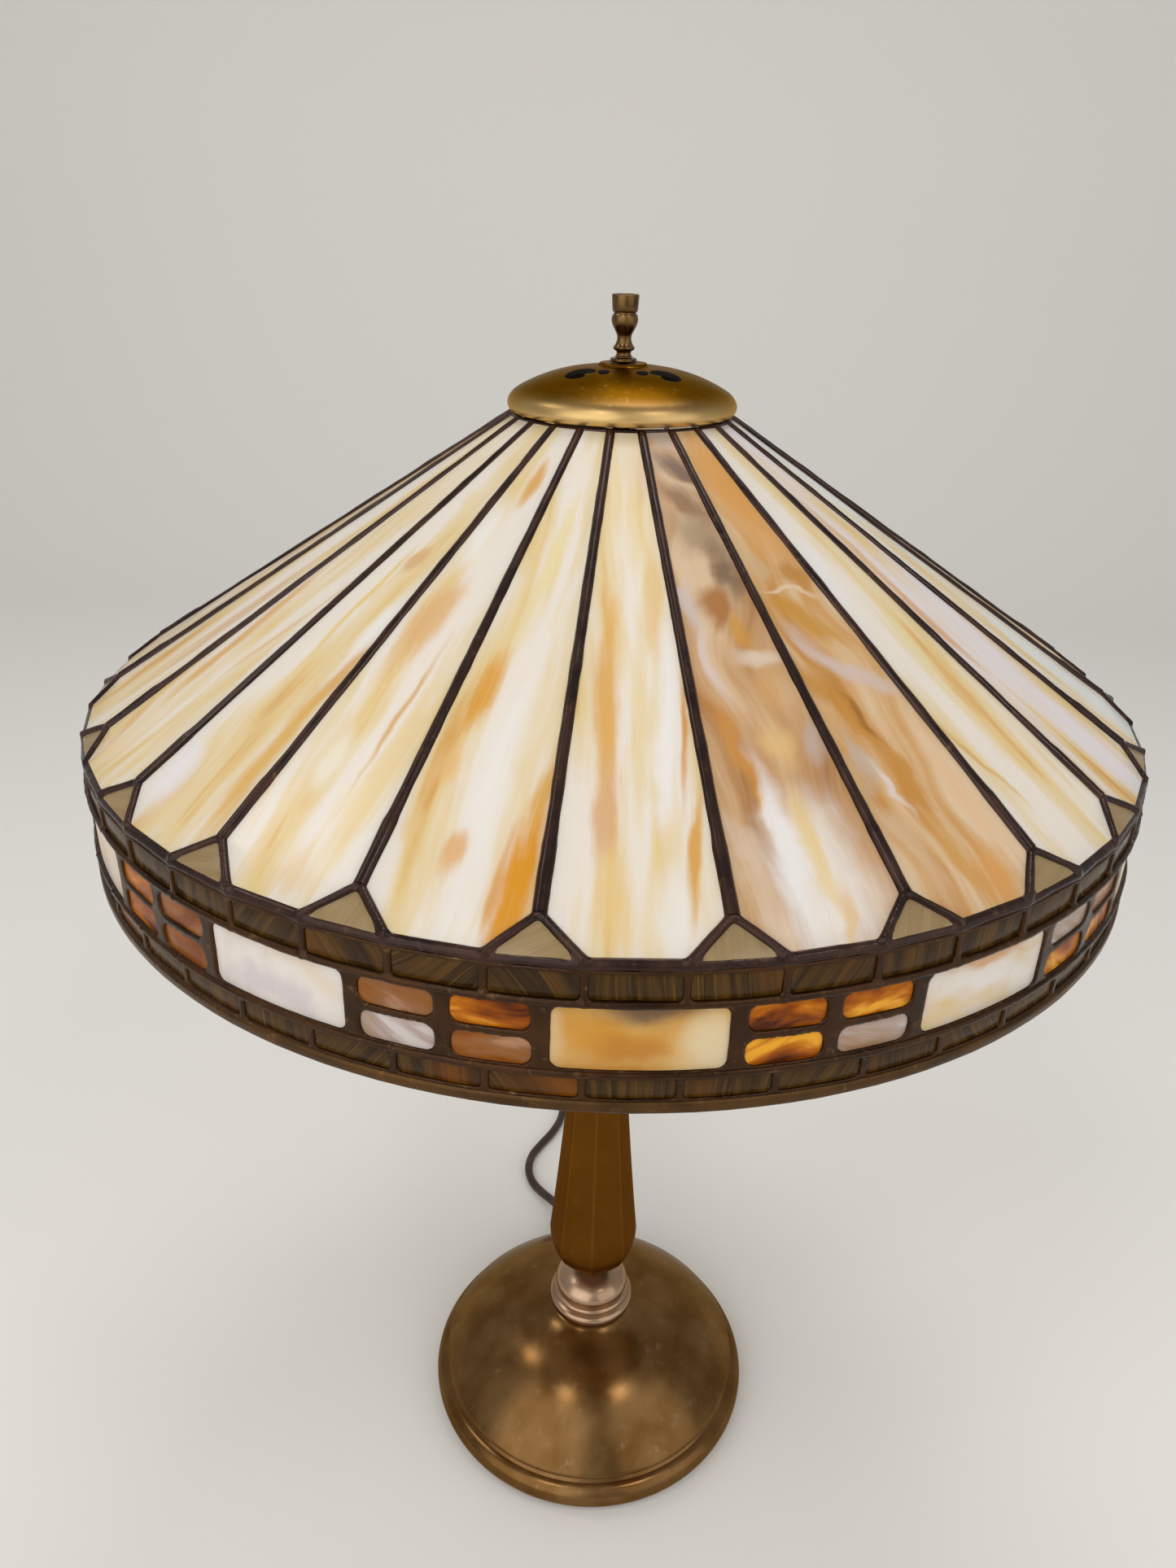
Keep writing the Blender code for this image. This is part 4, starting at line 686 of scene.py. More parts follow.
# Cone panels, from the one right of the first rib round to the viewer's right. A patch is a colour,
# millimetres right of the middle line and down from the top edge, half width, half length, lean, strength
panel = {"count": 24, "firstMiddle": -12.5, "topRadius": 46.0 * mm, "top": 591.49 * mm, "slope": 0.65,
         "apexRadius": 217.4 * mm, "rimRadius": 228.6 * mm, "cornerHalf": 3.75, "underCame": 1.3 * mm,
         "thick": 3.0 * mm, "edge": 0.5 * mm}
panelLooks = [
    toned(seed=1.0, amberShare=0.3, patches=[
        ("#f4f1ec", 4.5, 162, 9, 62, 0, 0.75), ("#f0dfa4", -0.5, 69, 4.5, 38, -4, 0.8),
        ("#e6a840", -9, 126, 4.5, 17, -11, 0.9), ("#efc888", -14.5, 153, 6, 14, -13, 0.75),
        ("#e8b878", -2.5, 192, 5, 10, -13, 0.85), ("#e5ad4a", 20, 165, 4.5, 22, -3, 0.85),
        ("#e6a020", 19.5, 195, 8, 30, -5, 1.0), ("#e0a45a", 13.5, 192, 2, 20, -2, 0.7),
        ("#eccf92", -18.5, 185, 5, 11, -10, 0.75)]),
    toned(seed=2.0, amberShare=0.34, patches=[
        ("#e8d6b6", 1, 14, 8, 24, 0, 0.8), ("#e5cdb8", 5.8, 28, 2.2, 14, -4, 0.7),
        ("#ecc983", 8, 79, 4.4, 36, 1, 0.75), ("#eec37a", -6.7, 95, 4, 18, -4, 0.75),
        ("#e6b25c", -8.2, 122, 5.2, 44, 0, 0.9), ("#e3b583", -9.4, 170, 5.5, 30, -2, 0.8),
        ("#eed8a0", 2.8, 136, 4, 55, -2, 0.7), ("#f5f2f0", 11.3, 138, 4.8, 56, -4, 0.95),
        ("#dc9b33", 16.4, 139, 1.9, 34, -1, 0.9), ("#e2a846", 18.5, 186, 2.6, 28, -6, 0.9),
        ("#efcf8e", -7.2, 203, 7, 18, -2, 0.7), ("#f4f1ec", 9.9, 203, 9, 20, 0, 0.8)]),
    toned(seed=3.0, white="#e4c8a2", cream="#d6ae80", yellow="#c89866", amber="#b07c46", vein="#9a7040",
          wander=0.5, tear=0.75, patches=[
        ("#c9b8a6", 1, 5, 9, 10, 0, 0.9), ("#7d5c42", 2.4, 23.5, 6.5, 14, 48, 0.95),
        ("#d9c199", 1.6, 32, 3.4, 9, 85, 0.75), ("#94693c", 1.2, 40, 7, 16, 40, 0.9),
        ("#b0926e", 2, 53, 10, 15, 74, 0.85), ("#86694c", 7.5, 70, 8, 22, 8, 0.95),
        ("#dcccc4", -10.9, 85, 4.4, 21, -5, 0.85), ("#b5793c", 0.5, 89, 10, 13, 21, 0.95),
        ("#d9a043", 7.6, 98, 4, 10, -7, 0.8), ("#e8d8c2", 7.9, 109, 4.5, 10, 71, 0.85),
        ("#deb071", 7.7, 123, 7, 13, -7, 0.7), ("#e5d3cb", -9, 113, 3, 18, 5, 0.85),
        ("#d69a4e", -10.8, 141, 5.8, 25, 5, 0.95), ("#e0a63f", -9, 165, 3.2, 13, 3, 0.9),
        ("#ecc887", 5.3, 144, 6.5, 12, 18, 0.75), ("#cbb9ac", 15.7, 147, 4.4, 10, 6, 0.8),
        ("#f3ece2", 2, 196, 24, 44, 0, 0.95), ("#f5f2f0", -5.3, 183, 5.8, 46, 0, 0.9),
        ("#efd594", 3.6, 181, 4, 30, 3, 0.8), ("#e5cdb4", -18.7, 191, 6, 26, 1, 0.8),
        ("#e9c48a", 7.4, 208, 4, 15, -5, 0.75)]),
    toned(seed=4.0, white="#ead0ac", cream="#e2bf90", yellow="#d9a868", amber="#c88c40", wander=0.5,
          lean=-10.0, vein="#b08048", tear=0.9, patches=[
        ("#e3a95c", 2, 32, 14, 40, 2, 0.95), ("#d8b98c", -7, 66, 5, 12, 7, 0.8),
        ("#c98f42", 6.3, 77, 7, 12, 20, 0.9), ("#d29a3a", 0.6, 98, 7.5, 21, 47, 0.9),
        ("#ecd5b0", 1.3, 84.5, 1.8, 16, 71, 0.9), ("#ddcac0", 2.8, 119, 6, 30, 43, 0.9),
        ("#cf9440", -8.7, 131, 5.5, 23, 23, 0.95), ("#cf9440", -2.4, 167, 5.5, 30, 0, 0.9),
        ("#daa85e", -0.8, 202, 5, 21, 7, 0.9), ("#a97430", -3.8, 137, 2.2, 14, 17, 0.85),
        ("#d0bfae", -16.3, 152, 5, 21, -2, 0.8), ("#ecdfd6", -11.6, 167, 2.6, 20, 11, 0.85),
        ("#e2c39c", -17.2, 195, 7, 26, 10, 0.8), ("#ecc9a0", 16.3, 173, 6, 30, 6, 0.8),
        ("#e4aa60", 9, 206, 8.5, 15, -4, 0.9)]),
    toned(seed=5.0, amberShare=0.14, patches=[
        ("#f3f1ee", -10.6, 81, 7, 44, -6, 0.85), ("#efe1b0", 2.4, 120, 4.5, 26, -10, 0.8),
        ("#e2b86a", -16.5, 167, 1.8, 34, 9, 0.85)]),
    toned(seed=6.0, amberShare=0.3, cream="#efe0d2", white="#eee8e8", patches=[
        ("#e6bd85", -7, 74, 4, 34, -3, 0.85), ("#e3b07a", -11, 116, 4, 28, -3, 0.85)]),
    toned(seed=7.0, amberShare=0.2, amber="#d8c196", white="#eef0ee"),
    toned(seed=8.0, amberShare=0.5, lean=5.0),
    toned(seed=9.0, amberShare=0.3, patches=[
        ("#e6b25c", -9, 130, 5, 50, 2, 0.85), ("#f4f1ec", 9, 150, 6, 60, -3, 0.8)]),
    toned(seed=10.0, amberShare=0.55, wander=0.7, patches=[
        ("#d69a4e", 8, 150, 7, 44, -8, 0.85), ("#cbb9ac", -6, 60, 6, 22, 10, 0.75),
        ("#a37a46", 0, 36, 6, 12, 60, 0.8)]),
    toned(seed=11.0, amberShare=0.2, patches=[("#e2b86a", 12, 150, 2, 50, 4, 0.8)]),
    toned(seed=12.0, amberShare=0.48, lean=6.0, patches=[
        ("#e6a52b", -18, 185, 6, 28, 6, 0.9), ("#f3f1ee", 4, 140, 7, 50, 0, 0.8)]),
    toned(seed=13.0, amberShare=0.34, patches=[
        ("#e8bf85", 5, 90, 7, 36, -6, 0.8), ("#e0a45a", -13, 170, 3, 36, 4, 0.8)]),
    toned(seed=14.0, amberShare=0.55, wander=0.7, vein="#b88a52", patches=[
        ("#cf9440", -6, 120, 6, 36, 14, 0.9), ("#ddcac0", 6, 160, 6, 30, 24, 0.85),
        ("#e3a95c", 0, 30, 12, 34, 0, 0.85)]),
    toned(seed=15.0, amberShare=0.26, patches=[("#efd886", -4, 80, 5, 44, 5, 0.8)]),
    toned(seed=16.0, amberShare=0.44, lean=-7.0, patches=[
        ("#f4f1ec", 10, 150, 6, 56, -6, 0.85), ("#e6b25c", -6, 168, 5, 36, -4, 0.85)]),
    toned(seed=17.0, amberShare=0.3, patches=[
        ("#e5ad4a", 18, 180, 6, 32, 4, 0.9), ("#e8b878", -8, 110, 5, 20, -8, 0.8)]),
    toned(seed=18.0, amberShare=0.5, wander=0.5, patches=[
        ("#f5f2f0", 0, 130, 6, 50, 6, 0.85), ("#bd8347", 2, 60, 7, 16, 30, 0.8)]),
    toned(seed=19.0, amberShare=0.22, patches=[("#ecc983", 6, 120, 5, 50, -3, 0.8)]),
    toned(seed=20.0, amberShare=0.35, cream="#e6d3b6", patches=[("#e3b583", -8, 120, 5, 50, 4, 0.8)]),
    toned(seed=21.0, amberShare=0.32, patches=[
        ("#f2eee6", -8, 70, 6, 56, 0, 0.8), ("#e0c09a", 6, 140, 7, 56, 2, 0.8)]),
    toned(seed=22.0, amberShare=0.36, patches=[
        ("#e6b76a", -13, 145, 4.4, 44, -1, 0.9), ("#e9bf85", -17, 202, 4, 18, 20, 0.8),
        ("#e9c99a", 8.4, 130, 2.2, 44, -11, 0.8)]),
    toned(seed=23.0, amberShare=0.22, patches=[
        ("#eeddb0", 0, 47, 6, 8, 17, 0.75), ("#e0b982", 1.6, 78, 5.5, 10, -2, 0.85),
        ("#ecd283", -5.3, 101, 1.8, 44, -1, 0.85), ("#f6f4f0", 12, 114, 5, 21, 4, 0.85),
        ("#e8b778", 15.5, 135, 4, 24, 1, 0.9), ("#e8bb5e", 17, 175, 6, 44, 6, 0.9),
        ("#f2eef0", -15, 199, 9, 19, 9, 0.85)]),
    toned(seed=24.0, amberShare=0.3, patches=[
        ("#f5f2ec", -5.5, 61, 6, 21, 2, 0.9), ("#e5ae58", 1.3, 32, 3.4, 15, 3, 0.9),
        ("#e8bf85", -4.7, 101, 8, 28, -9, 0.9), ("#efd8a6", 12.8, 159, 7.5, 38, -7, 0.8),
        ("#f4efe0", -7.1, 166, 6, 22, 3, 0.8), ("#dfb064", 6.7, 138, 1.7, 42, -1, 0.85),
        ("#ecd2a4", 4, 205, 11, 12, 0, 0.7)]),
]
halfStep = math.radians(180.0 / panel["count"])
slopeLength = math.hypot(1.0, panel["slope"])


def panelOutline():
    # half widths and distances down the slope, for the flat panel
    reach = panel["topRadius"] * math.cos(halfStep)
    apexDown = (panel["apexRadius"] * math.cos(halfStep) - reach) * slopeLength
    rimDown = (panel["rimRadius"] * math.cos(math.radians(panel["cornerHalf"])) - reach) * slopeLength
    return {"topHalf": panel["topRadius"] * math.sin(halfStep),
            "apexHalf": panel["apexRadius"] * math.sin(halfStep),
            "rimHalf": panel["rimRadius"] * math.sin(math.radians(panel["cornerHalf"])),
            "apexDown": apexDown, "rimDown": rimDown}


def layFlatUv(piece, turn=0.0, shift=(0.0, 0.0)):
    # a tenth of a metre to one unit, as the sheet lies flat, measured down from the top edge
    layer = piece.data.uv_layers[0] if piece.data.uv_layers else piece.data.uv_layers.new(name="sheet")
    cosine, sine = math.cos(math.radians(turn)), math.sin(math.radians(turn))
    for loop in piece.data.loops:
        spot = piece.data.vertices[loop.vertex_index].co * 10.0
        layer.data[loop.index].uv = (spot.x * cosine - spot.y * sine + shift[0],
                                     -spot.x * sine - spot.y * cosine + shift[1])


def addPanelBlank():
    size = panelOutline()
    inset = panel["underCame"]
    widen = (size["apexHalf"] - size["topHalf"]) / size["apexDown"]
    length = size["rimDown"] - inset
    bottomHalf = size["topHalf"] + widen * length - inset
    topHalf = size["topHalf"] - inset
    clearSelection()
    bpy.ops.mesh.primitive_plane_add(size=1.0)
    piece = startPiece("panel")
    bpy.ops.transform.resize(value=(2 * bottomHalf, length, 1.0))
    bpy.ops.transform.translate(value=(0.0, -length / 2, 0.0))
    pickVerts(piece, lambda co: co.y > -1 * mm)
    bpy.ops.transform.resize(value=(topHalf / bottomHalf, 1.0, 1.0), center_override=(0, 0, 0))
    bpy.ops.mesh.select_all(action="SELECT")
    bpy.ops.mesh.subdivide(number_cuts=15)
    cutLine = Vector((size["rimHalf"] - size["apexHalf"], size["apexDown"] - size["rimDown"],
                      0.0)).normalized()
    for side in (-1.0, 1.0):
        across = Vector((-cutLine.y * side, cutLine.x, 0.0))
        middle = Vector((side * (size["apexHalf"] + size["rimHalf"]) / 2,
                         -(size["apexDown"] + size["rimDown"]) / 2, 0.0))
        outward = across if across.dot(Vector((side, -1.0, 0.0))) > 0.0 else -across
        bpy.ops.mesh.select_all(action="SELECT")
        bpy.ops.mesh.bisect(plane_co=middle - outward * inset, plane_no=outward, clear_outer=True)
    bpy.ops.object.mode_set(mode="OBJECT")
    layFlatUv(piece)
    return piece


ripples = bpy.data.textures.new("ripples", "CLOUDS")
ripples.noise_scale = 0.03
ripples.noise_depth = 1


def addPanels():
    blank = addPanelBlank()
    tilt = math.atan(panel["slope"])
    for i in range(panel["count"]):
        name = f"panel_{i + 1:02d}"
        piece = copyOf(blank, name)
        piece.rotation_euler = (tilt, 0.0, 0.0)
        piece.location = (0.0, -panel["topRadius"] * math.cos(halfStep), panel["top"])
        setDown(piece)
        piece.rotation_euler.z = math.radians(panel["firstMiddle"] + i * 360.0 / panel["count"])
        setDown(piece)
        ruffle(piece, ripples, 0.5 * mm, 0.6)
        applyModifier(piece, "SOLIDIFY", thickness=panel["thick"], offset=-1.0)
        softenEdges(piece, panel["edge"])
        smooth(piece, 35.0)
        seat(piece, opalGlass(f"opal_{i + 1:02d}", panelLooks[i]), "shade", "cone_glass", f"cone_{name}")
    bpy.data.objects.remove(blank)


addPanels()
print("cone panels made")


# Soldered came: hand-drawn beads, fused and softened so that they run into each other
def bead(name, start, stop, wide, deep, outward, steps=1, swell=None):
    way = (stop - start).normalized()
    side = outward.cross(way).normalized()
    outward = way.cross(side)
    length = (stop - start).length
    clearSelection()
    bpy.ops.mesh.primitive_circle_add(vertices=12, radius=0.5, fill_type="NGON")
    piece = startPiece(name)
    size = swell(0.0) if swell else 1.0
    bpy.ops.transform.resize(value=(wide * size, deep * size, 1.0))
    for i in range(steps):
        bpy.ops.mesh.extrude_region_move(TRANSFORM_OT_translate={"value": (0.0, 0.0, length / steps)})
        wanted = swell((i + 1) / steps) if swell else 1.0
        bpy.ops.transform.resize(value=(wanted / size, wanted / size, 1.0),
                                 center_override=(0, 0, length * (i + 1) / steps))
        size = wanted
    bpy.ops.mesh.select_all(action="SELECT")
    bpy.ops.mesh.normals_make_consistent(inside=False)
    bpy.ops.object.mode_set(mode="OBJECT")
    piece.matrix_world = Matrix.Translation(start) @ facing(side, outward, way)
    setDown(piece)
    return piece


def blob(name, place, size):
    clearSelection()
    bpy.ops.mesh.primitive_ico_sphere_add(subdivisions=2, radius=0.5)
    piece = startPiece(name)
    bpy.ops.transform.resize(value=size)
    bpy.ops.transform.translate(value=place)
    bpy.ops.object.mode_set(mode="OBJECT")
    return piece


def aroundLamp(pieces, name, count):
    ring = []
    for i in range(count):
        for piece in pieces:
            twin = copyOf(piece, f"{piece.name}_{i}")
            twin.rotation_euler.z = math.tau * i / count
            ring.append(twin)
    for piece in pieces:
        bpy.data.objects.remove(piece)
    whole = joined(ring, name)
    setDown(whole)
    return whole


runs = bpy.data.textures.new("solder_runs", "CLOUDS")
runs.noise_scale = 0.008
runs.noise_depth = 2


def fuse(piece, voxel, rounds, lumps):
    applyModifier(piece, "REMESH", mode="VOXEL", voxel_size=voxel)
    applyModifier(piece, "SMOOTH", factor=0.5, iterations=rounds)
    ruffle(piece, runs, lumps)
    pickUp(piece)
    bpy.ops.object.shade_smooth()


came = {"wide": 4.9 * mm, "deep": 5.6 * mm, "sunk": 1.3 * mm, "vWide": 3.5 * mm, "firstRib": -20.0,
        "sleeve": 26.0 * mm, "sleeveGrow": 1.1, "ribSteps": 72, "voxel": 0.7 * mm, "lumps": 0.45 * mm,
        "borderWide": 2.6 * mm, "borderDeep": 3.6 * mm, "creaseTall": 5.0 * mm, "creaseThick": 5.2 * mm,
        "creaseDrop": 2.0 * mm, "creaseIn": 1.6 * mm, "apexBlob": (5.4 * mm, 5.4 * mm, 5.6 * mm),
        "creaseBlob": (5.8 * mm, 5.6 * mm, 6.0 * mm)}


def conePoint(radius, degrees=0.0):
    # on a rib, from its radius
    fall = panel["slope"] * math.cos(halfStep) * (radius - panel["topRadius"])
    return polar(radius, came["firstRib"] + degrees, panel["top"] - fall)


def addCone():
    top, apex = conePoint(panel["topRadius"]), conePoint(panel["apexRadius"])
    way = (apex - top).normalized()
    side = Vector((0.0, 0.0, 1.0)).cross(way).normalized()
    outward = way.cross(side)
    if outward.z < 0.0:
        outward = -outward
    length = (apex - top).length
    sleeveShare = 1.0 - came["sleeve"] / length

    def ribSwell(share):
        swell = min(1.0, max(0.0, (share - sleeveShare) * 60.0))
        return 0.82 + 0.16 * share + 0.02 * math.sin(37.0 * share) + (came["sleeveGrow"] - 0.98) * swell
    rib = bead("rib", top - outward * came["sunk"], apex - outward * came["sunk"], came["wide"],
               came["deep"], outward, came["ribSteps"], ribSwell)
    nextTop = Matrix.Rotation(2 * halfStep, 3, "Z") @ top
    border = bead("top_border", top - outward * came["sunk"], nextTop - outward * came["sunk"],
                  came["borderWide"], came["borderDeep"], outward, 4)
    whole = aroundLamp([rib, border], "cone_leading", panel["count"])
    ruffle(whole, runs, came["lumps"])
    smooth(whole, 60.0)
    seat(whole, metal["came"], "shade", "came", "cone_came")
    return apex, outward


apexPoint, ribOutward = addCone()


def addCornerLeading():
    rimLevel = panelOutline()["rimDown"] / slopeLength * panel["slope"]
    creaseLevel = panel["top"] - rimLevel
    corner = panel["cornerHalf"]
    sunk = ribOutward * came["sunk"]
    pieces = []
    crease = []
    for degrees in (-corner, corner, 3 * corner):
        crease.append(polar(panel["rimRadius"] - came["creaseIn"], came["firstRib"] + degrees,
                            creaseLevel - came["creaseDrop"]))
    for degrees in (-corner, corner):
        end = polar(panel["rimRadius"], came["firstRib"] + degrees, creaseLevel)
        vee = bead("vee", apexPoint - sunk, end - sunk, came["vWide"], came["deep"], ribOutward, 4)
        pieces.append(vee)
    upright = Vector((0.0, 0.0, 1.0))
    for start, stop in zip(crease, crease[1:]):
        pieces.append(bead("crease", start, stop, came["creaseThick"], came["creaseTall"], upright, 4))
    pieces.append(blob("apex_blob", apexPoint - sunk, came["apexBlob"]))
    for place in crease[:2]:
        pieces.append(blob("crease_blob", place, came["creaseBlob"]))
    whole = aroundLamp(pieces, "corner_leading", panel["count"])
    fuse(whole, came["voxel"], 4, came["lumps"])
    seat(whole, metal["came"], "shade", "came", "corner_band")


addCornerLeading()
print("leading of the cone made")

# Skirt, from the crease down: bricks, plaques, bricks, rim
skirt = {"radius": 228.6 * mm, "thick": 3.0 * mm, "proud": 0.9 * mm, "behind": 0.9 * mm,
         "lumps": 0.5 * mm, "brickStep": 7.5, "firstBrick": -20.0, "divider": 1.7 * mm,
         "overlap": 0.3 * mm, "spread": 1.2 * mm, "brickCorner": 0.8 * mm, "brickEdge": 0.4 * mm,
         "ridge": 1.5 * mm, "ridgeIn": 0.5 * mm, "steps": 144}


def layOnSkirt(piece, degrees, level, radius=None):
    radius = radius or skirt["radius"]
    for vert in piece.data.vertices:
        angle = vert.co.x / radius + math.radians(degrees)
        reach = radius + vert.co.z
        vert.co = (reach * math.sin(angle), -reach * math.cos(angle), level + vert.co.y)


def glassTile(name, wide, high, thick, corner, slices, edge):
    clearSelection()
    bpy.ops.mesh.primitive_plane_add(size=1.0)
    piece = startPiece(name)
    bpy.ops.transform.resize(value=(wide, high, 1.0))
    bpy.ops.mesh.bevel(offset=corner, segments=4, affect="VERTICES")
    for i in range(1, slices):
        bpy.ops.mesh.select_all(action="SELECT")
        bpy.ops.mesh.bisect(plane_co=(wide * (i / slices - 0.5), 0, 0), plane_no=(1, 0, 0))
    bpy.ops.object.mode_set(mode="OBJECT")
    layFlatUv(piece)
    applyModifier(piece, "SOLIDIFY", thickness=thick, offset=-1.0)
    if edge:
        softenEdges(piece, edge)
    smooth(piece, 35.0)
    return piece


def solderBand(name, low, high, windows, voxel, extras=()):
    # a ring with a window for each piece of glass, and the beads that stand proud of it
    outer = skirt["radius"] + skirt["proud"]
    inner = skirt["radius"] - skirt["thick"] - skirt["behind"]
    ring = turned(name, [(outer, high), (outer, low), (inner, low), (inner, high), (outer, high)],
                  skirt["steps"])
    cutters = []
    for i, (wide, tall, corner, degrees, level) in enumerate(windows):
        trim = 2 * skirt["overlap"]
        cutter = glassTile(f"window_{i}", wide - trim, tall - trim, 20.0 * mm, corner,
                           max(2, round(wide / (6 * mm))), 0.0)
        layOnSkirt(cutter, degrees, level, skirt["radius"] + 8.0 * mm)
        cutters.append(cutter)
    cutter = joined(cutters, "windows")
    applyModifier(ring, "BOOLEAN", operation="DIFFERENCE", object=cutter, solver="EXACT")
    bpy.data.objects.remove(cutter)
    if extras:
        ring = joined([ring, *extras], name)
    fuse(ring, voxel, 3, skirt["lumps"])
    return ring


def streakGlass(name, look):
    # darker border glass: close streaks along the pour
    finish, tree, shader = startFinish(name, 0.22)
    shader.inputs["Specular IOR Level"].default_value = 0.16
    sheet = coords(tree, "UV")
    flow = wandering(tree, sheet, 1.2, (0.2, 0.2))
    tone = noise(tree, stretched(tree, flow, (2.0, 0.3, 1.0)), 1.0, 2.0)["Fac"]
    streak = noise(tree, stretched(tree, flow, (26.0, 1.0, 1.0)), 1.0, 4.0, 0.6)["Fac"]
    fine = noise(tree, stretched(tree, flow, (90.0, 2.0, 1.0)), 1.0, 3.0, 0.6)["Fac"]
    colour = tint(tree, fade(tree, streak, 0.34, 0.68), colourOf(look["dark"]), colourOf(look["mid"]))
    colour = tint(tree, fade(tree, fine, 0.52, 0.78, 0.0, 0.6), colour, colourOf(look["light"]))
    colour = tint(tree, fade(tree, tone, 0.56, 0.74, 0.0, look["warmShare"]), colour,
                  colourOf(look["warm"]))
    tree.links.new(colour, shader.inputs["Base Color"])
    tree.links.new(fade(tree, streak, 0.3, 0.7, 0.16, 0.3), shader.inputs["Roughness"])
    roughen(tree, shader, sums(tree, "ADD", streak, fine), 0.12, 0.6 * mm)
    return finish


borderLook = {"dark": "#2a1a07", "mid": "#50350e", "light": "#785824", "warm": "#844606",
              "warmShare": 0.6}
borderGlass = streakGlass("border_glass", borderLook)
cornerGlass = streakGlass("corner_glass", {"dark": "#897250", "mid": "#937d58", "light": "#9f8964",
                                           "warm": "#8c744d", "warmShare": 0.4})


def ridge(level, dice):
    # a round bead along the row, with a lump where each divider meets it
    reach = skirt["radius"] + skirt["proud"] - skirt["ridgeIn"]
    pieces = [turned("ridge", arcPoints((reach, level), skirt["ridge"], 0.0, 360.0, 10), skirt["steps"])]
    for i in range(round(360.0 / skirt["brickStep"])):
        degrees = skirt["firstBrick"] + (i + 0.5) * skirt["brickStep"]
        size = dice.uniform(2.6, 3.8) * mm
        pieces.append(blob("lump", polar(reach, degrees + dice.uniform(-0.3, 0.3), level),
                           (size, size, 3.4 * mm)))
    return pieces


def brickRow(name, node, leadName, leadNode, seed, ridgeLevel):
    low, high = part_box(node)[0].z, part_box(node)[1].z
    dice = random.Random(seed)
    wide = math.radians(skirt["brickStep"]) * skirt["radius"] - skirt["divider"] + 2 * skirt["overlap"]
    tall = high - low
    level = (low + high) / 2
    brick = glassTile("brick", wide, tall, skirt["thick"], skirt["brickCorner"], 3, skirt["brickEdge"])
    bricks, windows = [], []
    for i in range(round(360.0 / skirt["brickStep"])):
        degrees = skirt["firstBrick"] + i * skirt["brickStep"]
        twin = copyOf(brick, f"brick_{i}")
        layFlatUv(twin, dice.choice((0.0, 0.0, 0.0, 35.0, -30.0, 50.0)),
                  (dice.uniform(0, 40), dice.uniform(0, 40)))
        layOnSkirt(twin, degrees, level)
        bricks.append(twin)
        windows.append((wide, tall, skirt["brickCorner"], degrees, level))
    bpy.data.objects.remove(brick)
    row = joined(bricks, name)
    seat(row, borderGlass, "shade", "border_glass", node)
    low, high = low - skirt["spread"], high + skirt["spread"]
    lead = solderBand(leadName, low, high, windows, 0.6 * mm, ridge(ridgeLevel, dice))
    seat(lead, metal["solder"], "shade", "came", leadNode)


brickRow("upper_bricks", "upper_brick_row", "upper_leading", "upper_band_came", 5, 458.3 * mm)
brickRow("lower_bricks", "lower_brick_row", "lower_leading", "lower_band_came", 9, 432.2 * mm)
print("brick rows made")

# Plaque band: a pale plaque, then two columns of two amber bricks, twelve times
plaque = {"count": 12, "first": 3.0, "wide": 14.0, "gap": 0.9, "brickWide": 6.6, "brickGap": 0.95,
          "between": 2.7 * mm, "margin": 0.2 * mm, "plaqueCorner": 3.2 * mm, "brickCorner": 3.6 * mm,
          "plaqueEdge": 0.5 * mm, "brickEdge": 0.6 * mm}
plaqueLooks = {
    "front": toned(seed=31.0, white="#ecc98c", cream="#e4b568", yellow="#dca24a", amber="#d2963c",
                   wander=0.3, grain=(2.0, 2.4), tear=0.8, hair=0.06, patches=[
        ("#dd9f38", -10, 1, 20, 13, 0, 0.9), ("#cc882e", -3, 6, 13, 7, 0, 0.7),
        ("#7c6048", 4, -10, 20, 9, 8, 0.95), ("#efdcb4", 22, 2, 12, 16, 0, 0.95),
        ("#edd0a0", -27, 0, 6, 16, 0, 0.7)]),
    "left": toned(seed=32.0, white="#f6efe8", amberShare=0.12, wander=0.6, grain=(3.6, 2.0), hair=0.12,
                  cream="#f0e4d8", yellow="#ecd2b4", patches=[
        ("#dccfd6", -4, 7, 24, 9, 4, 0.6), ("#f0ddc0", 12, -8, 16, 6, -6, 0.6)]),
    "right": toned(seed=33.0, amberShare=0.2, wander=0.6, grain=(2.4, 3.2), hair=0.12, cream="#f0e0cc",
                   patches=[
        ("#e3ae7a", 0, -9, 24, 5, 0, 0.85), ("#f5f1ec", 2, 0, 22, 5, 0, 0.85),
        ("#efdcb6", 0, 9, 24, 4, 0, 0.7)]),
    "warm": toned(seed=34.0, amberShare=0.5, wander=0.7, grain=(3.4, 2.0), hair=0.12),
    "pale": toned(seed=35.0, amberShare=0.16, wander=0.6, grain=(3.6, 2.0), hair=0.12),
}
plaqueOrder = ["front", "right", "pale", "warm", "left", "pale", "front", "left", "warm", "pale", "right",
               "left"]
brickLooks = {
    "amber": toned(seed=41.0, white="#eca630", cream="#bc6a08", yellow="#924600", amber="#4c1d00",
                   vein="#5a2600", amberShare=0.5, wander=1.0, grain=(8.0, 3.0), soak=0.1, gloss=0.16),
    "mauve": toned(seed=42.0, white="#b88a68", cream="#92623e", yellow="#92561c", amber="#7c3c06",
                   vein="#724c36", amberShare=0.55, wander=1.0, grain=(8.0, 3.0), soak=0.1, gloss=0.2),
    "pearl": toned(seed=43.0, white="#cfc4c0", cream="#b4a098", yellow="#a88c74", amber="#9a7044",
                   vein="#8a7668", amberShare=0.4, wander=0.8, grain=(12.0, 2.0), hair=0.3, soak=0.1,
                   gloss=0.25),
}
usualBricks = ("amber", "amber", "amber", "mauve", "pearl")
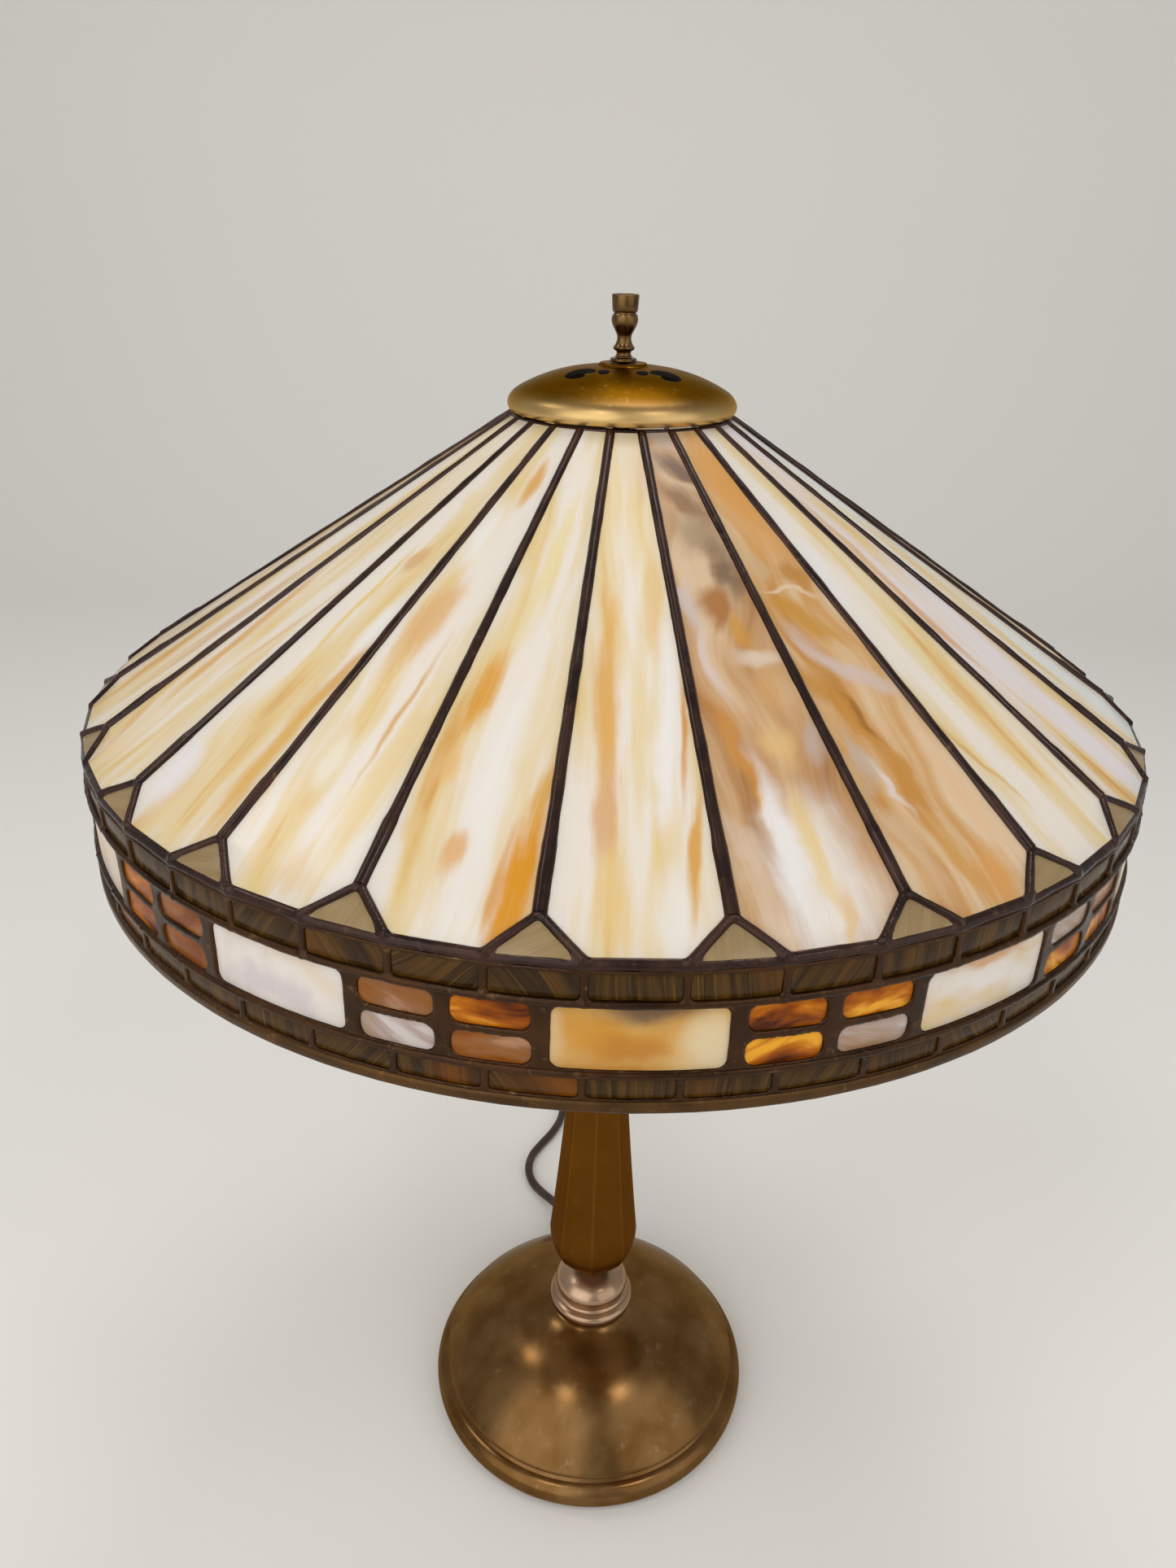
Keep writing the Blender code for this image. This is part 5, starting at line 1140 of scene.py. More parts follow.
# glass of four bricks, clockwise from the top left, for the groups left and right of the front plaque
brickGroups = {11: ("mauve", "amber", "mauve", "pearl"), 0: ("amber", "amber", "pearl", "amber")}


def addPlaqueBand():
    node = "plaque_band"
    low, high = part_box(node)[0].z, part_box(node)[1].z
    level = (low + high) / 2
    arc = math.radians(1.0) * skirt["radius"]
    tall = high - low - 2 * plaque["margin"]
    brickTall = (tall - plaque["between"]) / 2 + skirt["overlap"]
    brickWide = plaque["brickWide"] * arc
    plaqueWide = plaque["wide"] * arc
    dice = random.Random(21)
    windows = []
    looks = {name: opalGlass(f"plaque_{name}", look) for name, look in plaqueLooks.items()}
    plaqueBlank = glassTile("plaque", plaqueWide, tall, skirt["thick"], plaque["plaqueCorner"], 9,
                            plaque["plaqueEdge"])
    brickBlank = glassTile("amber_brick", brickWide, brickTall, skirt["thick"], plaque["brickCorner"], 5,
                           plaque["brickEdge"])
    bricks = {name: [] for name in brickLooks}
    for i in range(plaque["count"]):
        middle = plaque["first"] + i * 360.0 / plaque["count"]
        piece = copyOf(plaqueBlank, f"plaque_{i + 1:02d}")
        if i not in (0, 1, plaque["count"] - 1):
            layFlatUv(piece, shift=(dice.uniform(3, 30), dice.uniform(3, 30)))
        layOnSkirt(piece, middle, level)
        seat(piece, looks[plaqueOrder[i]], "shade", "plaque_glass", node)
        windows.append((plaqueWide, tall, plaque["plaqueCorner"], middle, level))
        group = brickGroups.get(i) or [dice.choice(usualBricks) for _ in range(4)]
        firstColumn = middle + plaque["wide"] / 2 + plaque["gap"] + plaque["brickWide"] / 2
        columns = (firstColumn, firstColumn + plaque["brickWide"] + plaque["brickGap"])
        offset = (tall - brickTall) / 2
        spots = ((columns[0], offset), (columns[1], offset), (columns[1], -offset), (columns[0], -offset))
        for kind, (degrees, shift) in zip(group, spots):
            twin = copyOf(brickBlank, f"brick_{kind}_{i}")
            layFlatUv(twin, 90.0 + dice.uniform(-25, 25), (dice.uniform(0, 40), dice.uniform(0, 40)))
            layOnSkirt(twin, degrees, level + shift)
            bricks[kind].append(twin)
            windows.append((brickWide, brickTall, plaque["brickCorner"], degrees, level + shift))
    bpy.data.objects.remove(plaqueBlank)
    bpy.data.objects.remove(brickBlank)
    for kind, twins in bricks.items():
        row = joined(twins, f"{kind}_bricks")
        seat(row, opalGlass(f"{kind}_glass", brickLooks[kind]), "shade", "plaque_glass", node)
    lead = solderBand("plaque_leading", low - skirt["spread"], high + skirt["spread"], windows, 0.72 * mm)
    seat(lead, metal["solder"], "shade", "came", node)


addPlaqueBand()
print("plaque band made")


def addCornerGlass():
    # small triangles between the panels' lower corners
    size = panelOutline()
    tall = 12.0 * mm
    clearSelection()
    bpy.ops.mesh.primitive_circle_add(vertices=3, radius=1.0, fill_type="NGON")
    piece = startPiece("corner_tile")
    base = size["rimHalf"] - 1.5 * mm
    bpy.ops.transform.resize(value=(base / math.cos(math.radians(30.0)), tall / 1.5, 1.0))
    bpy.ops.object.mode_set(mode="OBJECT")
    applyModifier(piece, "SOLIDIFY", thickness=skirt["thick"], offset=-1.0)
    applyModifier(piece, "BEVEL", width=0.4 * mm, segments=2)
    return piece


def seatCornerGlass():
    blank = addCornerGlass()
    rimLevel = panel["top"] - panelOutline()["rimDown"] / slopeLength * panel["slope"]
    foot = panel["rimRadius"] * math.cos(math.radians(panel["cornerHalf"]))
    leanIn = Matrix.Rotation(math.atan2(apexPoint.z - rimLevel, foot - panel["apexRadius"]), 4, "X")
    dice = random.Random(3)
    tiles = []
    for i in range(panel["count"]):
        tile = copyOf(blank, f"corner_tile_{i}")
        layFlatUv(tile, dice.uniform(0, 90), (dice.uniform(0, 40), dice.uniform(0, 40)))
        lowest = min(vert.co.y for vert in tile.data.vertices)
        for vert in tile.data.vertices:
            vert.co.y -= lowest
        ribTurn = Matrix.Rotation(math.radians(came["firstRib"] + i * 360.0 / panel["count"]), 4, "Z")
        tile.matrix_world = ribTurn @ Matrix.Translation((0.0, -foot, rimLevel)) @ leanIn
        setDown(tile)
        tiles.append(tile)
    bpy.data.objects.remove(blank)
    whole = joined(tiles, "corner_glass")
    smooth(whole, 35.0)
    seat(whole, cornerGlass, "shade", "corner_glass", "corner_band")


seatCornerGlass()

# Rim channel: a U of brass round the lower edge
rim = {"outer": 230.4 * mm, "inner": 223.8 * mm, "round": 1.3 * mm}


def addRim():
    low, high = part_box("rim_channel")[0].z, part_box("rim_channel")[1].z
    r = rim["round"]
    profile = []
    for centre, start in (((rim["outer"] - r, high - r), 90.0), ((rim["outer"] - r, low + r), 0.0),
                          ((rim["inner"] + r, low + r), -90.0), ((rim["inner"] + r, high - r), -180.0)):
        profile += arcPoints(centre, r, start, start - 90.0, 4)
    profile.append(profile[0])
    piece = turned("rim_moulding", profile, skirt["steps"])
    ruffle(piece, runs, 0.25 * mm)
    smooth(piece, 60.0)
    seat(piece, metal["rim"], "shade", "came", "rim_channel")


addRim()
print("skirt made")

# Heat cap: a shallow dome with a round shoulder, a small boss and mirrored scroll vents, front and back
cap = {"radius": 47.9 * mm, "top": 611.8 * mm, "rimLow": 592.8 * mm, "wall": 1.8 * mm,
       "crown": 610.9 * mm, "depth": 12.1 * mm, "power": 2.6, "boss": 10.9 * mm, "hole": 3.0 * mm,
       "pairs": 2, "shoulder": 43.0 * mm, "vents": (12.0 * mm, 32.0 * mm), "shadedWithin": 45.5 * mm,
       "steps": 128}
# outline points of the vents in millimetres, right of the front, the drop then the larger scroll
ventOutlines = [
    [(5.2, -17.6), (7.8, -14.4), (9.5, -15.2), (10.1, -17.6), (9.0, -20.8), (7.0, -21.2)],
    [(11.3, -13.0), (13.8, -10.1), (16.9, -9.5), (20.4, -11.3), (22.8, -15.0), (23.2, -18.8),
     (21.0, -21.8), (18.2, -22.8), (15.6, -22.0), (14.9, -18.6), (12.8, -18.3), (11.2, -17.4)],
]


def capLevel(radius):
    return cap["crown"] - cap["depth"] * (radius / cap["radius"]) ** cap["power"]


def capProfile():
    boss, low = cap["boss"], cap["rimLow"]
    profile = [(cap["hole"], cap["top"]), (boss - 2.2 * mm, cap["top"])]
    profile += arcPoints((boss - 1.6 * mm, cap["top"] - 0.6 * mm), 0.6 * mm, 90.0, 20.0, 4)
    profile.append((boss - 0.4 * mm, capLevel(boss) + 0.15 * mm))
    count = 26
    radii = [boss + (cap["shoulder"] - boss) * i / count for i in range(count + 1)]
    profile += [(radius, capLevel(radius)) for radius in radii]
    curl = [(cap["shoulder"] - 2.0 * mm, capLevel(cap["shoulder"] - 2.0 * mm)),
            (cap["shoulder"], capLevel(cap["shoulder"])), (45.4 * mm, low + 7.4 * mm),
            (47.1 * mm, low + 5.4 * mm), (cap["radius"], low + 3.0 * mm), (47.4 * mm, low + 1.0 * mm),
            (46.5 * mm, low), (45.7 * mm, low + 0.6 * mm)]
    profile += [(point.x, point.y) for point in throughPoints(curl, 5)[6:]]
    wall = cap["wall"]
    profile.append((45.8 * mm, low + 3.4 * mm))
    profile.append((44.8 * mm, low + 5.6 * mm))
    profile += [(radius - 0.6 * mm, capLevel(radius) - wall) for radius in radii[::-3]]
    profile += [(cap["hole"], cap["crown"] - wall), (cap["hole"], cap["top"])]
    return profile


def ventCutter(name, outline, mirror, turn):
    piece = bezierThrough(name, [(mirror * x * mm, y * mm, 0.0) for x, y in outline], "2D", 6)
    piece.data.fill_mode = "BOTH"
    piece.data.extrude = 20.0 * mm
    piece.data.splines[0].use_cyclic_u = True
    pickUp(piece)
    bpy.ops.object.convert(target="MESH")
    piece = bpy.context.object
    bpy.ops.object.mode_set(mode="EDIT")
    bpy.ops.mesh.select_all(action="SELECT")
    bpy.ops.mesh.remove_doubles(threshold=0.01 * mm)
    bpy.ops.mesh.normals_make_consistent(inside=False)
    bpy.ops.object.mode_set(mode="OBJECT")
    piece.rotation_euler.z = math.radians(turn)
    piece.location.z = cap["crown"]
    setDown(piece)
    return piece


def addCap():
    piece = turned("cap_dome", capProfile(), cap["steps"])
    cutters = []
    for pair in range(cap["pairs"]):
        for mirror in (-1.0, 1.0):
            for number, outline in enumerate(ventOutlines):
                cutters.append(ventCutter(f"vent_{pair}_{number}_{mirror}", outline, mirror,
                                          pair * 360.0 / cap["pairs"]))
    cutter = joined(cutters, "vents")
    applyModifier(piece, "BOOLEAN", operation="DIFFERENCE", object=cutter, solver="EXACT")
    bpy.data.objects.remove(cutter)
    softenEdges(piece, 0.25 * mm, 60.0)
    smooth(piece, 35.0)
    seat(piece, metal["capBrass"], "cap", "cap_brass", "heat_cap")
    # the vent walls and the underside inside the shoulder get the near-black finish: painted shade, so the
    # vents read dark
    piece.data.materials.append(metal["paintedVentShade"])
    for face in piece.data.polygons:
        reach = math.hypot(face.center.x, face.center.y)
        inside = face.center.z < capLevel(reach) - cap["wall"] * 0.6
        cutWall = cap["vents"][0] < reach < cap["vents"][1] and abs(face.normal.z) < 0.5
        if cutWall or (inside and reach < cap["shadedWithin"]):
            face.material_index = 1


addCap()

# Finial: a flared button over a small vase and ring
finial = {"bottom": 613.9 * mm, "top": 637.8 * mm, "stud": 2.4 * mm, "studBottom": 604.5 * mm,
          "pitch": 0.94 * mm}


def addFinial():
    top, foot = finial["top"], finial["bottom"]
    profile = [(0.0, top - 0.5 * mm), (3.4 * mm, top - 0.5 * mm), (3.9 * mm, top)]
    profile += arcPoints((5.06 * mm, top - 0.5 * mm), 0.5 * mm, 90.0, 0.0, 3)
    profile += [(5.4 * mm, top - 3.6 * mm), (5.2 * mm, top - 6.2 * mm), (4.9 * mm, top - 6.7 * mm),
                (4.5 * mm, top - 6.9 * mm)]
    vase = [(4.5, 7.1), (5.1, 8.0), (5.45, 9.6), (5.1, 11.4), (4.0, 13.6), (3.1, 15.4), (2.9, 16.8),
            (3.3, 18.4), (4.0, 19.6), (4.45, 20.3), (4.2, 21.0), (3.2, 21.6), (2.95, 22.4), (3.2, 23.2),
            (3.6, 23.6)]
    smoothVase = throughPoints([(r * mm, top - drop * mm) for r, drop in vase], 4)
    profile += [(point.x, point.y) for point in smoothVase]
    profile += [(3.6 * mm, foot), (finial["stud"], foot)]
    turns = round((foot - finial["studBottom"]) / finial["pitch"])
    for i in range(turns):
        level = foot - (i + 0.5) * finial["pitch"]
        profile += [(finial["stud"] - 0.35 * mm, level), (finial["stud"], level - 0.3 * mm)]
    profile += [(finial["stud"] - 0.4 * mm, finial["studBottom"]), (0.0, finial["studBottom"])]
    piece = turned("finial_vase", profile, 56)
    smooth(piece, 45.0)
    seat(piece, metal["finialBrass"], "finial", "finial_brass", "finial")


addFinial()
print("cap and finial made")

# Base: a dome with a cove under the collar, a groove and a round-nosed rim
base = {"bottom": 2.3 * mm, "top": 66.2 * mm, "nose": (87.9 * mm, 10.5 * mm), "noseRadius": 8.2 * mm,
        "edge": 89.2 * mm, "edgeLevel": 23.9 * mm, "seat": 24.9 * mm, "hole": 5.2 * mm, "lip": 24.6 * mm,
        "bellTop": 65.6 * mm, "wall": 3.0 * mm, "round": 0.88, "cove": 10.0, "steps": 144}


def bellPoints(edge, seatRadius, low, high, count):
    points = []
    for i in range(count + 1):
        share = i / count
        dome = base["round"] * (1.0 - share ** 2.0)
        cove = (1.0 - base["round"]) * (1.0 - share) ** base["cove"]
        points.append((seatRadius + (edge - seatRadius) * share, low + (high - low) * (dome + cove)))
    return points


def addBase():
    profile = [(base["hole"], base["top"]), (base["lip"] - 0.6 * mm, base["top"])]
    profile += bellPoints(base["edge"], base["lip"], base["edgeLevel"], base["top"] - 0.1 * mm, 56)
    profile += [(base["edge"] + 0.1 * mm, base["edgeLevel"] - 0.6 * mm),
                (base["edge"] - 0.1 * mm, base["edgeLevel"] - 1.4 * mm),
                (base["edge"] - 1.2 * mm, base["edgeLevel"] - 2.2 * mm),
                (base["edge"] - 1.6 * mm, base["edgeLevel"] - 3.4 * mm)]
    profile += arcPoints(base["nose"], base["noseRadius"], 82.0, -90.0, 22)
    inner = base["nose"][0] - base["wall"]
    profile.append((inner, base["bottom"]))
    profile += bellPoints(inner, base["seat"] - base["wall"], base["edgeLevel"] - base["wall"],
                          base["bellTop"] - base["wall"], 10)[::-1]
    profile += [(base["hole"], base["bellTop"] - base["wall"]), (base["hole"], base["top"])]
    piece = turned("base_bell", profile, base["steps"])
    smooth(piece, 40.0)
    seat(piece, metal["baseBronze"], "stand", "base_bronze", "base_shell")


addBase()

# Neck collar: two round rings under a flattened dome
collar = {"bottom": 66.5 * mm, "top": 91.6 * mm, "rings": ((25.2 * mm, 6.5 * mm), (22.9 * mm, 4.5 * mm)),
          "shoulder": 20.3 * mm, "dome": 21.6 * mm, "domeLevel": 3.5 * mm, "neck": 8.9 * mm}


def addCollar():
    level = base["top"] - 0.3 * mm
    profile = [(base["hole"], level), (collar["rings"][0][0] - 1.6 * mm, level)]
    level = collar["bottom"]
    for radius, height in collar["rings"]:
        half = height * 0.47
        profile += arcPoints((radius - half, level + height / 2), half, -66.0, 72.0, 12)
        level += height
    profile += [(collar["shoulder"], level), (collar["shoulder"] + 0.7 * mm, level + 1.2 * mm)]
    level += collar["domeLevel"]
    end = math.acos(collar["neck"] / collar["dome"])
    rise = (collar["top"] - level) / math.sin(end)
    for i in range(17):
        turn = end * i / 16
        profile.append((collar["dome"] * math.cos(turn), level + rise * math.sin(turn)))
    profile += [(base["hole"], collar["top"]), (base["hole"], base["top"] - 0.3 * mm)]
    piece = turned("collar_rings", profile, 96)
    smooth(piece, 40.0)
    seat(piece, metal["collarBronzePaintedLight"], "stand", "base_bronze", "neck_collar")


addCollar()

# Column: eight sides with softened arrises, a bulb at the foot and a long taper
column = {"bottom": 91.9 * mm, "top": 385.0 * mm, "neck": 8.9 * mm, "bulb": 25.9 * mm, "head": 10.0 * mm,
          "neckHeight": 3.4 * mm, "bulbHeight": 32.4 * mm, "belt": 6.0 * mm, "roundBelow": 9.4 * mm,
          "arris": 0.7 * mm, "bore": 5.7 * mm}


def columnRadius(height):
    if height >= column["bulbHeight"]:
        taper = column["top"] - column["bottom"] - column["bulbHeight"]
        share = (height - column["bulbHeight"]) / taper
        return column["head"] + (column["bulb"] - column["head"]) * (1.0 - share) ** 1.65
    waist = column["neck"] * (0.92 + 0.16 * min(1.0, height / column["neckHeight"]))
    if height <= column["neckHeight"]:
        return waist
    flare = column["bulbHeight"] - column["neckHeight"] - column["belt"]
    share = min(1.0, (height - column["neckHeight"]) / flare)
    return waist + (column["bulb"] - waist) * math.sin(share * math.pi / 2) ** 0.9


def addColumn():
    height = column["top"] - column["bottom"]
    neck, bulb = column["neckHeight"], column["bulbHeight"]
    levels = [0.0, 1.7 * mm]
    levels += [neck + (bulb - neck) * i / 14 for i in range(15)]
    levels += [bulb + (height - bulb) * i / 26 for i in range(1, 27)]
    profile = [(column["bore"], column["bottom"])]
    profile += [(columnRadius(level), column["bottom"] + level) for level in levels]
    profile += [(column["bore"], column["top"]), (column["bore"], column["bottom"])]
    piece = turned("column_shaft", profile, 8)
    pickUp(piece)
    bpy.ops.object.mode_set(mode="EDIT")

    def outside(co):
        return math.hypot(co.x, co.y) > column["bore"] + 1 * mm
    pickEdges(piece, lambda a, b: outside(a) and outside(b) and abs(a.z - b.z) > 0.5 * mm)
    bpy.ops.mesh.bevel(offset=column["arris"], segments=2)

    def acrossSide(a, b):
        return outside(a) and outside(b) and abs(a.z - b.z) < 0.01 * mm and (a - b).length > 3 * mm
    pickEdges(piece, acrossSide)
    bpy.ops.mesh.subdivide(number_cuts=3)
    # the foot of the bulb goes from eight sides to round
    for level in levels:
        share = 1.0 - (level - column["roundBelow"]) / (bulb - column["roundBelow"])
        if share > 0.0:
            ringLevel = column["bottom"] + level
            pickVerts(piece, lambda co: outside(co) and abs(co.z - ringLevel) < 0.1 * mm)
            bpy.ops.transform.tosphere(value=min(1.0, share), center_override=(0.0, 0.0, ringLevel))
    bpy.ops.object.mode_set(mode="OBJECT")
    smooth(piece, 14.0)
    seat(piece, metal["columnBronze"], "stand", "column_bronze", "column")


addColumn()
print("stand made")

# Fittings: a cluster with two arms, each with a keyed socket and a bulb. Lengths run out along the arm
fitting = {"rise": 411.8 * mm, "tilt": 25.0, "foot": 34.0 * mm, "floor": 58.0 * mm, "mouth": 92.0 * mm,
           "bore": 14.1 * mm, "keyAxis": 47.0 * mm, "keyInner": 8.5 * mm, "keyOuter": 25.5 * mm,
           "keyRadius": 2.2 * mm, "paddle": (4.0, 8.0, 13.0), "clusterLow": 385.3 * mm,
           "clusterTop": 424.0 * mm, "rodHole": 4.3 * mm, "pipeHole": 5.15 * mm}
aside = Matrix.Rotation(math.radians(-90.0), 4, "X")  # from Z to Y


def armPlace(heading):
    tilt = math.radians(fitting["tilt"])
    way = Vector((heading * math.cos(tilt), 0.0, math.sin(tilt)))
    across = Vector((0.0, -1.0, 0.0))
    return Matrix.Translation((0.0, 0.0, fitting["rise"])) @ facing(across.cross(way), across, way)


def inMillimetres(points):
    return [(radius * mm, level * mm) for radius, level in points]


def curved(points, steps=4):
    return [(point.x, point.y) for point in throughPoints(inMillimetres(points), steps)]


def placed(piece, place):
    piece.matrix_world = place
    setDown(piece)
    return piece


def cutAway(piece, cutter, operation="DIFFERENCE"):
    applyModifier(piece, "BOOLEAN", operation=operation, object=cutter, solver="EXACT")
    bpy.data.objects.remove(cutter)


def keyBoss(name, radius, start, stop):
    # a bar across the socket, where the key goes in
    outline = [(0.0, start), (radius, start), (radius, stop - 0.5), (radius - 0.5, stop), (0.0, stop)]
    bar = turned(name, inMillimetres(outline), 32)
    return placed(bar, Matrix.Translation((0.0, 0.0, fitting["keyAxis"])) @ aside)


def addSocket(number, place):
    profile = [(0.0, fitting["floor"]), (fitting["bore"], fitting["floor"])]
    profile += arcPoints((15.3 * mm, fitting["mouth"] - 1.2 * mm), 1.2 * mm, 180.0, 0.0, 8)
    profile += curved([(16.5, 90.2), (16.1, 88.6), (16.0, 87.0)], 3)
    profile += inMillimetres([(16.0, 66.0), (16.4, 65.4), (16.4, 64.4), (16.0, 63.8)])
    profile += curved([(16.0, 61.4), (17.1, 58.8), (17.5, 56.4), (17.2, 54.0), (16.2, 52.8), (16.2, 50.0),
                       (16.0, 45.0), (15.2, 41.0), (13.2, 37.2), (10.6, 34.9), (9.0, 34.2)])
    profile += [(8.6 * mm, fitting["foot"]), (0.0, fitting["foot"])]
    piece = turned(f"socket_shell_{number}", profile, 64)
    cutAway(piece, keyBoss("boss", 4.6, 12.0, 18.4), "UNION")
    cutAway(piece, keyBoss("key_hole", 2.5, 8.2, 24.0))
    smooth(placed(piece, place), 35.0)
    seat(piece, metal["brass"], "stand", "brass", f"socket_{number}")


def addKey(number, place):
    paddle = startBlock(f"key_{number}_paddle")
    bpy.ops.transform.resize(value=[size * mm for size in fitting["paddle"]])
    pickEdges(paddle, lambda a, b: abs(a.x - b.x) > 2 * mm)
    bpy.ops.mesh.bevel(offset=3.4 * mm, segments=6)
    pickFaces(paddle, lambda middle, normal: abs(normal.x) > 0.9)
    bpy.ops.mesh.inset(thickness=1.3 * mm, depth=-0.5 * mm, use_individual=True)
    bpy.ops.object.mode_set(mode="OBJECT")
    softenEdges(paddle, 0.35 * mm, 40.0)
    placed(paddle, Matrix.Translation((0.0, fitting["keyOuter"], fitting["keyAxis"])))
    reach = fitting["keyOuter"] - 3.0 * mm
    inner, thick = fitting["keyInner"], fitting["keyRadius"]
    profile = [(0.0, inner), (thick - 0.4 * mm, inner), (thick, inner + 0.4 * mm), (thick, reach - 3.0 * mm)]
    profile += [(3.0 * mm, reach - 2.2 * mm), (3.0 * mm, reach), (0.0, reach)]
    shaft = turned("shaft", profile, 24)
    placed(shaft, Matrix.Translation((0.0, 0.0, fitting["keyAxis"])) @ aside)
    cutAway(paddle, shaft, "UNION")
    smooth(placed(paddle, place), 35.0)
    seat(paddle, keyPlastic, f"key_{number}", "key_plastic", f"socket_key_{number}")


def addBulb(number, place):
    base = inMillimetres([(0.0, 58.3), (4.6, 58.3), (5.2, 58.9), (5.6, 59.8), (10.4, 62.4), (12.3, 63.4)])
    for i in range(49):
        base.append(((12.75 - 0.45 * math.cos(math.tau * i / 8)) * mm, (64.0 + 0.43 * i) * mm))
    base += inMillimetres([(12.6, 85.4), (12.9, 86.0), (12.9, 91.4), (12.3, 91.8), (0.0, 91.8)])
    screw = turned(f"bulb_screw_{number}", base, 48)
    smooth(placed(screw, place), 40.0)
    seat(screw, metal["brass"], f"bulb_{number}", "brass", f"bulb_{number}")
    glass = curved([(12.2, 91.0), (13.2, 93.0), (14.7, 98.3), (17.6, 105.6), (21.8, 114.3), (26.2, 124.0),
                    (28.9, 131.0), (30.0, 138.3)], 4)
    glass += arcPoints((0.0, 138.3 * mm), 30.0 * mm, 0.0, 90.0, 18)[1:]
    envelope = turned(f"bulb_envelope_{number}", [(0.0, 91.0 * mm)] + glass, 64)
    smooth(placed(envelope, place), 60.0)
    seat(envelope, bulbFinish, f"bulb_{number}", "bulb_glass", f"bulb_{number}")


def addCluster():
    low, top, hole = fitting["clusterLow"], fitting["clusterTop"], fitting["rodHole"]
    profile = [(0.0, top - 10.0 * mm), (hole, top - 10.0 * mm)]
    profile += [(hole, top - 0.4 * mm), (hole + 0.4 * mm, top)]
    profile += curved([(7.6, 424.0), (9.4, 423.5), (11.4, 422.0), (13.6, 420.2), (14.6, 419.2)])
    profile += curved([(14.8, 418.8), (15.0, 417.9), (14.8, 417.0), (14.1, 416.6)], 3)
    profile += curved([(13.9, 415.0), (13.9, 406.0), (14.1, 404.6), (14.8, 404.2), (15.0, 403.2),
                       (14.8, 402.2), (14.0, 401.8)], 3)
    profile += curved([(13.8, 400.6), (13.2, 396.6), (12.3, 392.8), (11.7, 391.4), (11.6, 390.2),
                       (11.9, 388.8), (12.0, 387.0), (11.7, 385.6)], 3)
    profile += [(11.2 * mm, low), (fitting["pipeHole"], low), (fitting["pipeHole"], low + 14.0 * mm),
                (0.0, low + 14.0 * mm)]
    piece = turned("cluster_hub", profile, 64)
    for heading in (1.0, -1.0):
        armProfile = inMillimetres([(0.0, 8.0), (6.0, 8.0)])
        armProfile += curved([(6.0, 25.0), (6.2, 26.4), (7.2, 27.2), (7.5, 28.4), (7.2, 29.6),
                              (6.4, 30.4), (6.3, 31.6)])
        armProfile += inMillimetres([(6.3, 33.3), (5.9, 33.7), (0.0, 33.7)])
        arm = turned("arm", armProfile, 40)
        cutAway(piece, placed(arm, armPlace(heading)), "UNION")
    smooth(piece, 35.0)
    seat(piece, metal["brass"], "stand", "brass", "cluster_body")


def addRod():
    # threaded where the nut and the cluster hold it and where the finial goes in
    profile = inMillimetres([(0.0, 414.3), (3.5, 414.3)])
    for start, stop in ((415.0, 430.0), (566.0, 608.4)):
        for i in range(round((stop - start) / 1.0)):
            profile += inMillimetres([(4.0, start + i), (3.6, start + i + 0.5)])
        profile += inMillimetres([(4.0, stop + 0.2)])
    profile += inMillimetres([(3.5, 609.2), (2.7, 609.2), (2.7, 597.2), (0.0, 597.2)])
    piece = turned("threaded_rod", profile, 28)
    smooth(piece, 50.0)
    seat(piece, metal["brass"], "stand", "brass", "shade_rod")


def flatRing(name, outer, bore, low, high, edge, steps):
    # a ring with broken edges; six steps make a nut
    profile = [(bore, low), (outer - edge, low), (outer, low + edge), (outer, high - edge)]
    profile += [(outer - edge, high), (bore, high), (bore, low)]
    return turned(name, inMillimetres(profile), steps)


def addSpider():
    hub = [(4.6, 581.1), (13.6, 581.1), (14.0, 581.5), (14.0, 583.0), (13.6, 583.4), (4.6, 583.4)]
    piece = turned("spider_arms", inMillimetres(hub + hub[:1]), 60)
    for i in range(3):
        arm = startBlock("arm")
        bpy.ops.transform.resize(value=(36.0 * mm, 9.0 * mm, 2.2 * mm))
        bpy.ops.transform.translate(value=(26.0 * mm, 0.0, 582.25 * mm))
        pickEdges(arm, lambda a, b: min(a.x, b.x) > 40 * mm and abs(a.z - b.z) > 1 * mm)
        bpy.ops.mesh.bevel(offset=3.8 * mm, segments=6)
        bpy.ops.object.mode_set(mode="OBJECT")
        armTurn = Matrix.Rotation(math.radians(came["firstRib"] - 90.0 + 120.0 * i), 4, "Z")
        cutAway(piece, placed(arm, armTurn), "UNION")
    softenEdges(piece, 0.35 * mm)
    smooth(piece, 35.0)
    seat(piece, metal["brass"], "shade", "brass", "spider")


def addTopRing():
    low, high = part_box("top_ring")[0].z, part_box("top_ring")[1].z
    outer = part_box("top_ring")[1].x - 0.8 * mm
    lean = (high - low) / panel["slope"]
    profile = [(39.5 * mm, low + 0.5 * mm), (40.0 * mm, low), (outer - 0.5 * mm, low),
               (outer, low + 0.5 * mm), (outer - lean + 0.6 * mm, high - 0.3 * mm), (outer - lean, high),
               (40.0 * mm, high), (39.5 * mm, high - 0.5 * mm), (39.5 * mm, low + 0.5 * mm)]
    piece = turned("top_band", profile, 96)
    smooth(piece, 35.0)
    seat(piece, metal["brass"], "shade", "brass", "top_ring")


def frostedGlass(name, dim, pale, roughness):
    finish, tree, shader = startFinish(name, roughness)
    cloud = noise(tree, coords(tree, "Object"), 30.0, 3.0)["Fac"]
    tree.links.new(tint(tree, cloud, colourOf(dim), colourOf(pale)), shader.inputs["Base Color"])
    return finish


keyPlastic = rubberFinish("key_plastic", "#100e0d", "#1d1918", 0.25)
bulbFinish = frostedGlass("bulb_glass", "#efece4", "#f7f4ec", 0.3)
keepFinishes = {"brass": metal["brass"], "steel": metal["steel"], "iron": metal["iron"],
                "finial_brass": metal["finialBrass"],
                "fibre": rubberFinish("fibre", "#3a2419", "#55382a", 0.8),
                "felt": rubberFinish("felt", "#33261b", "#4a3828", 0.95),
                "lead_cover": rubberFinish("lead_cover", "#17110f", "#261c18", 0.5)}

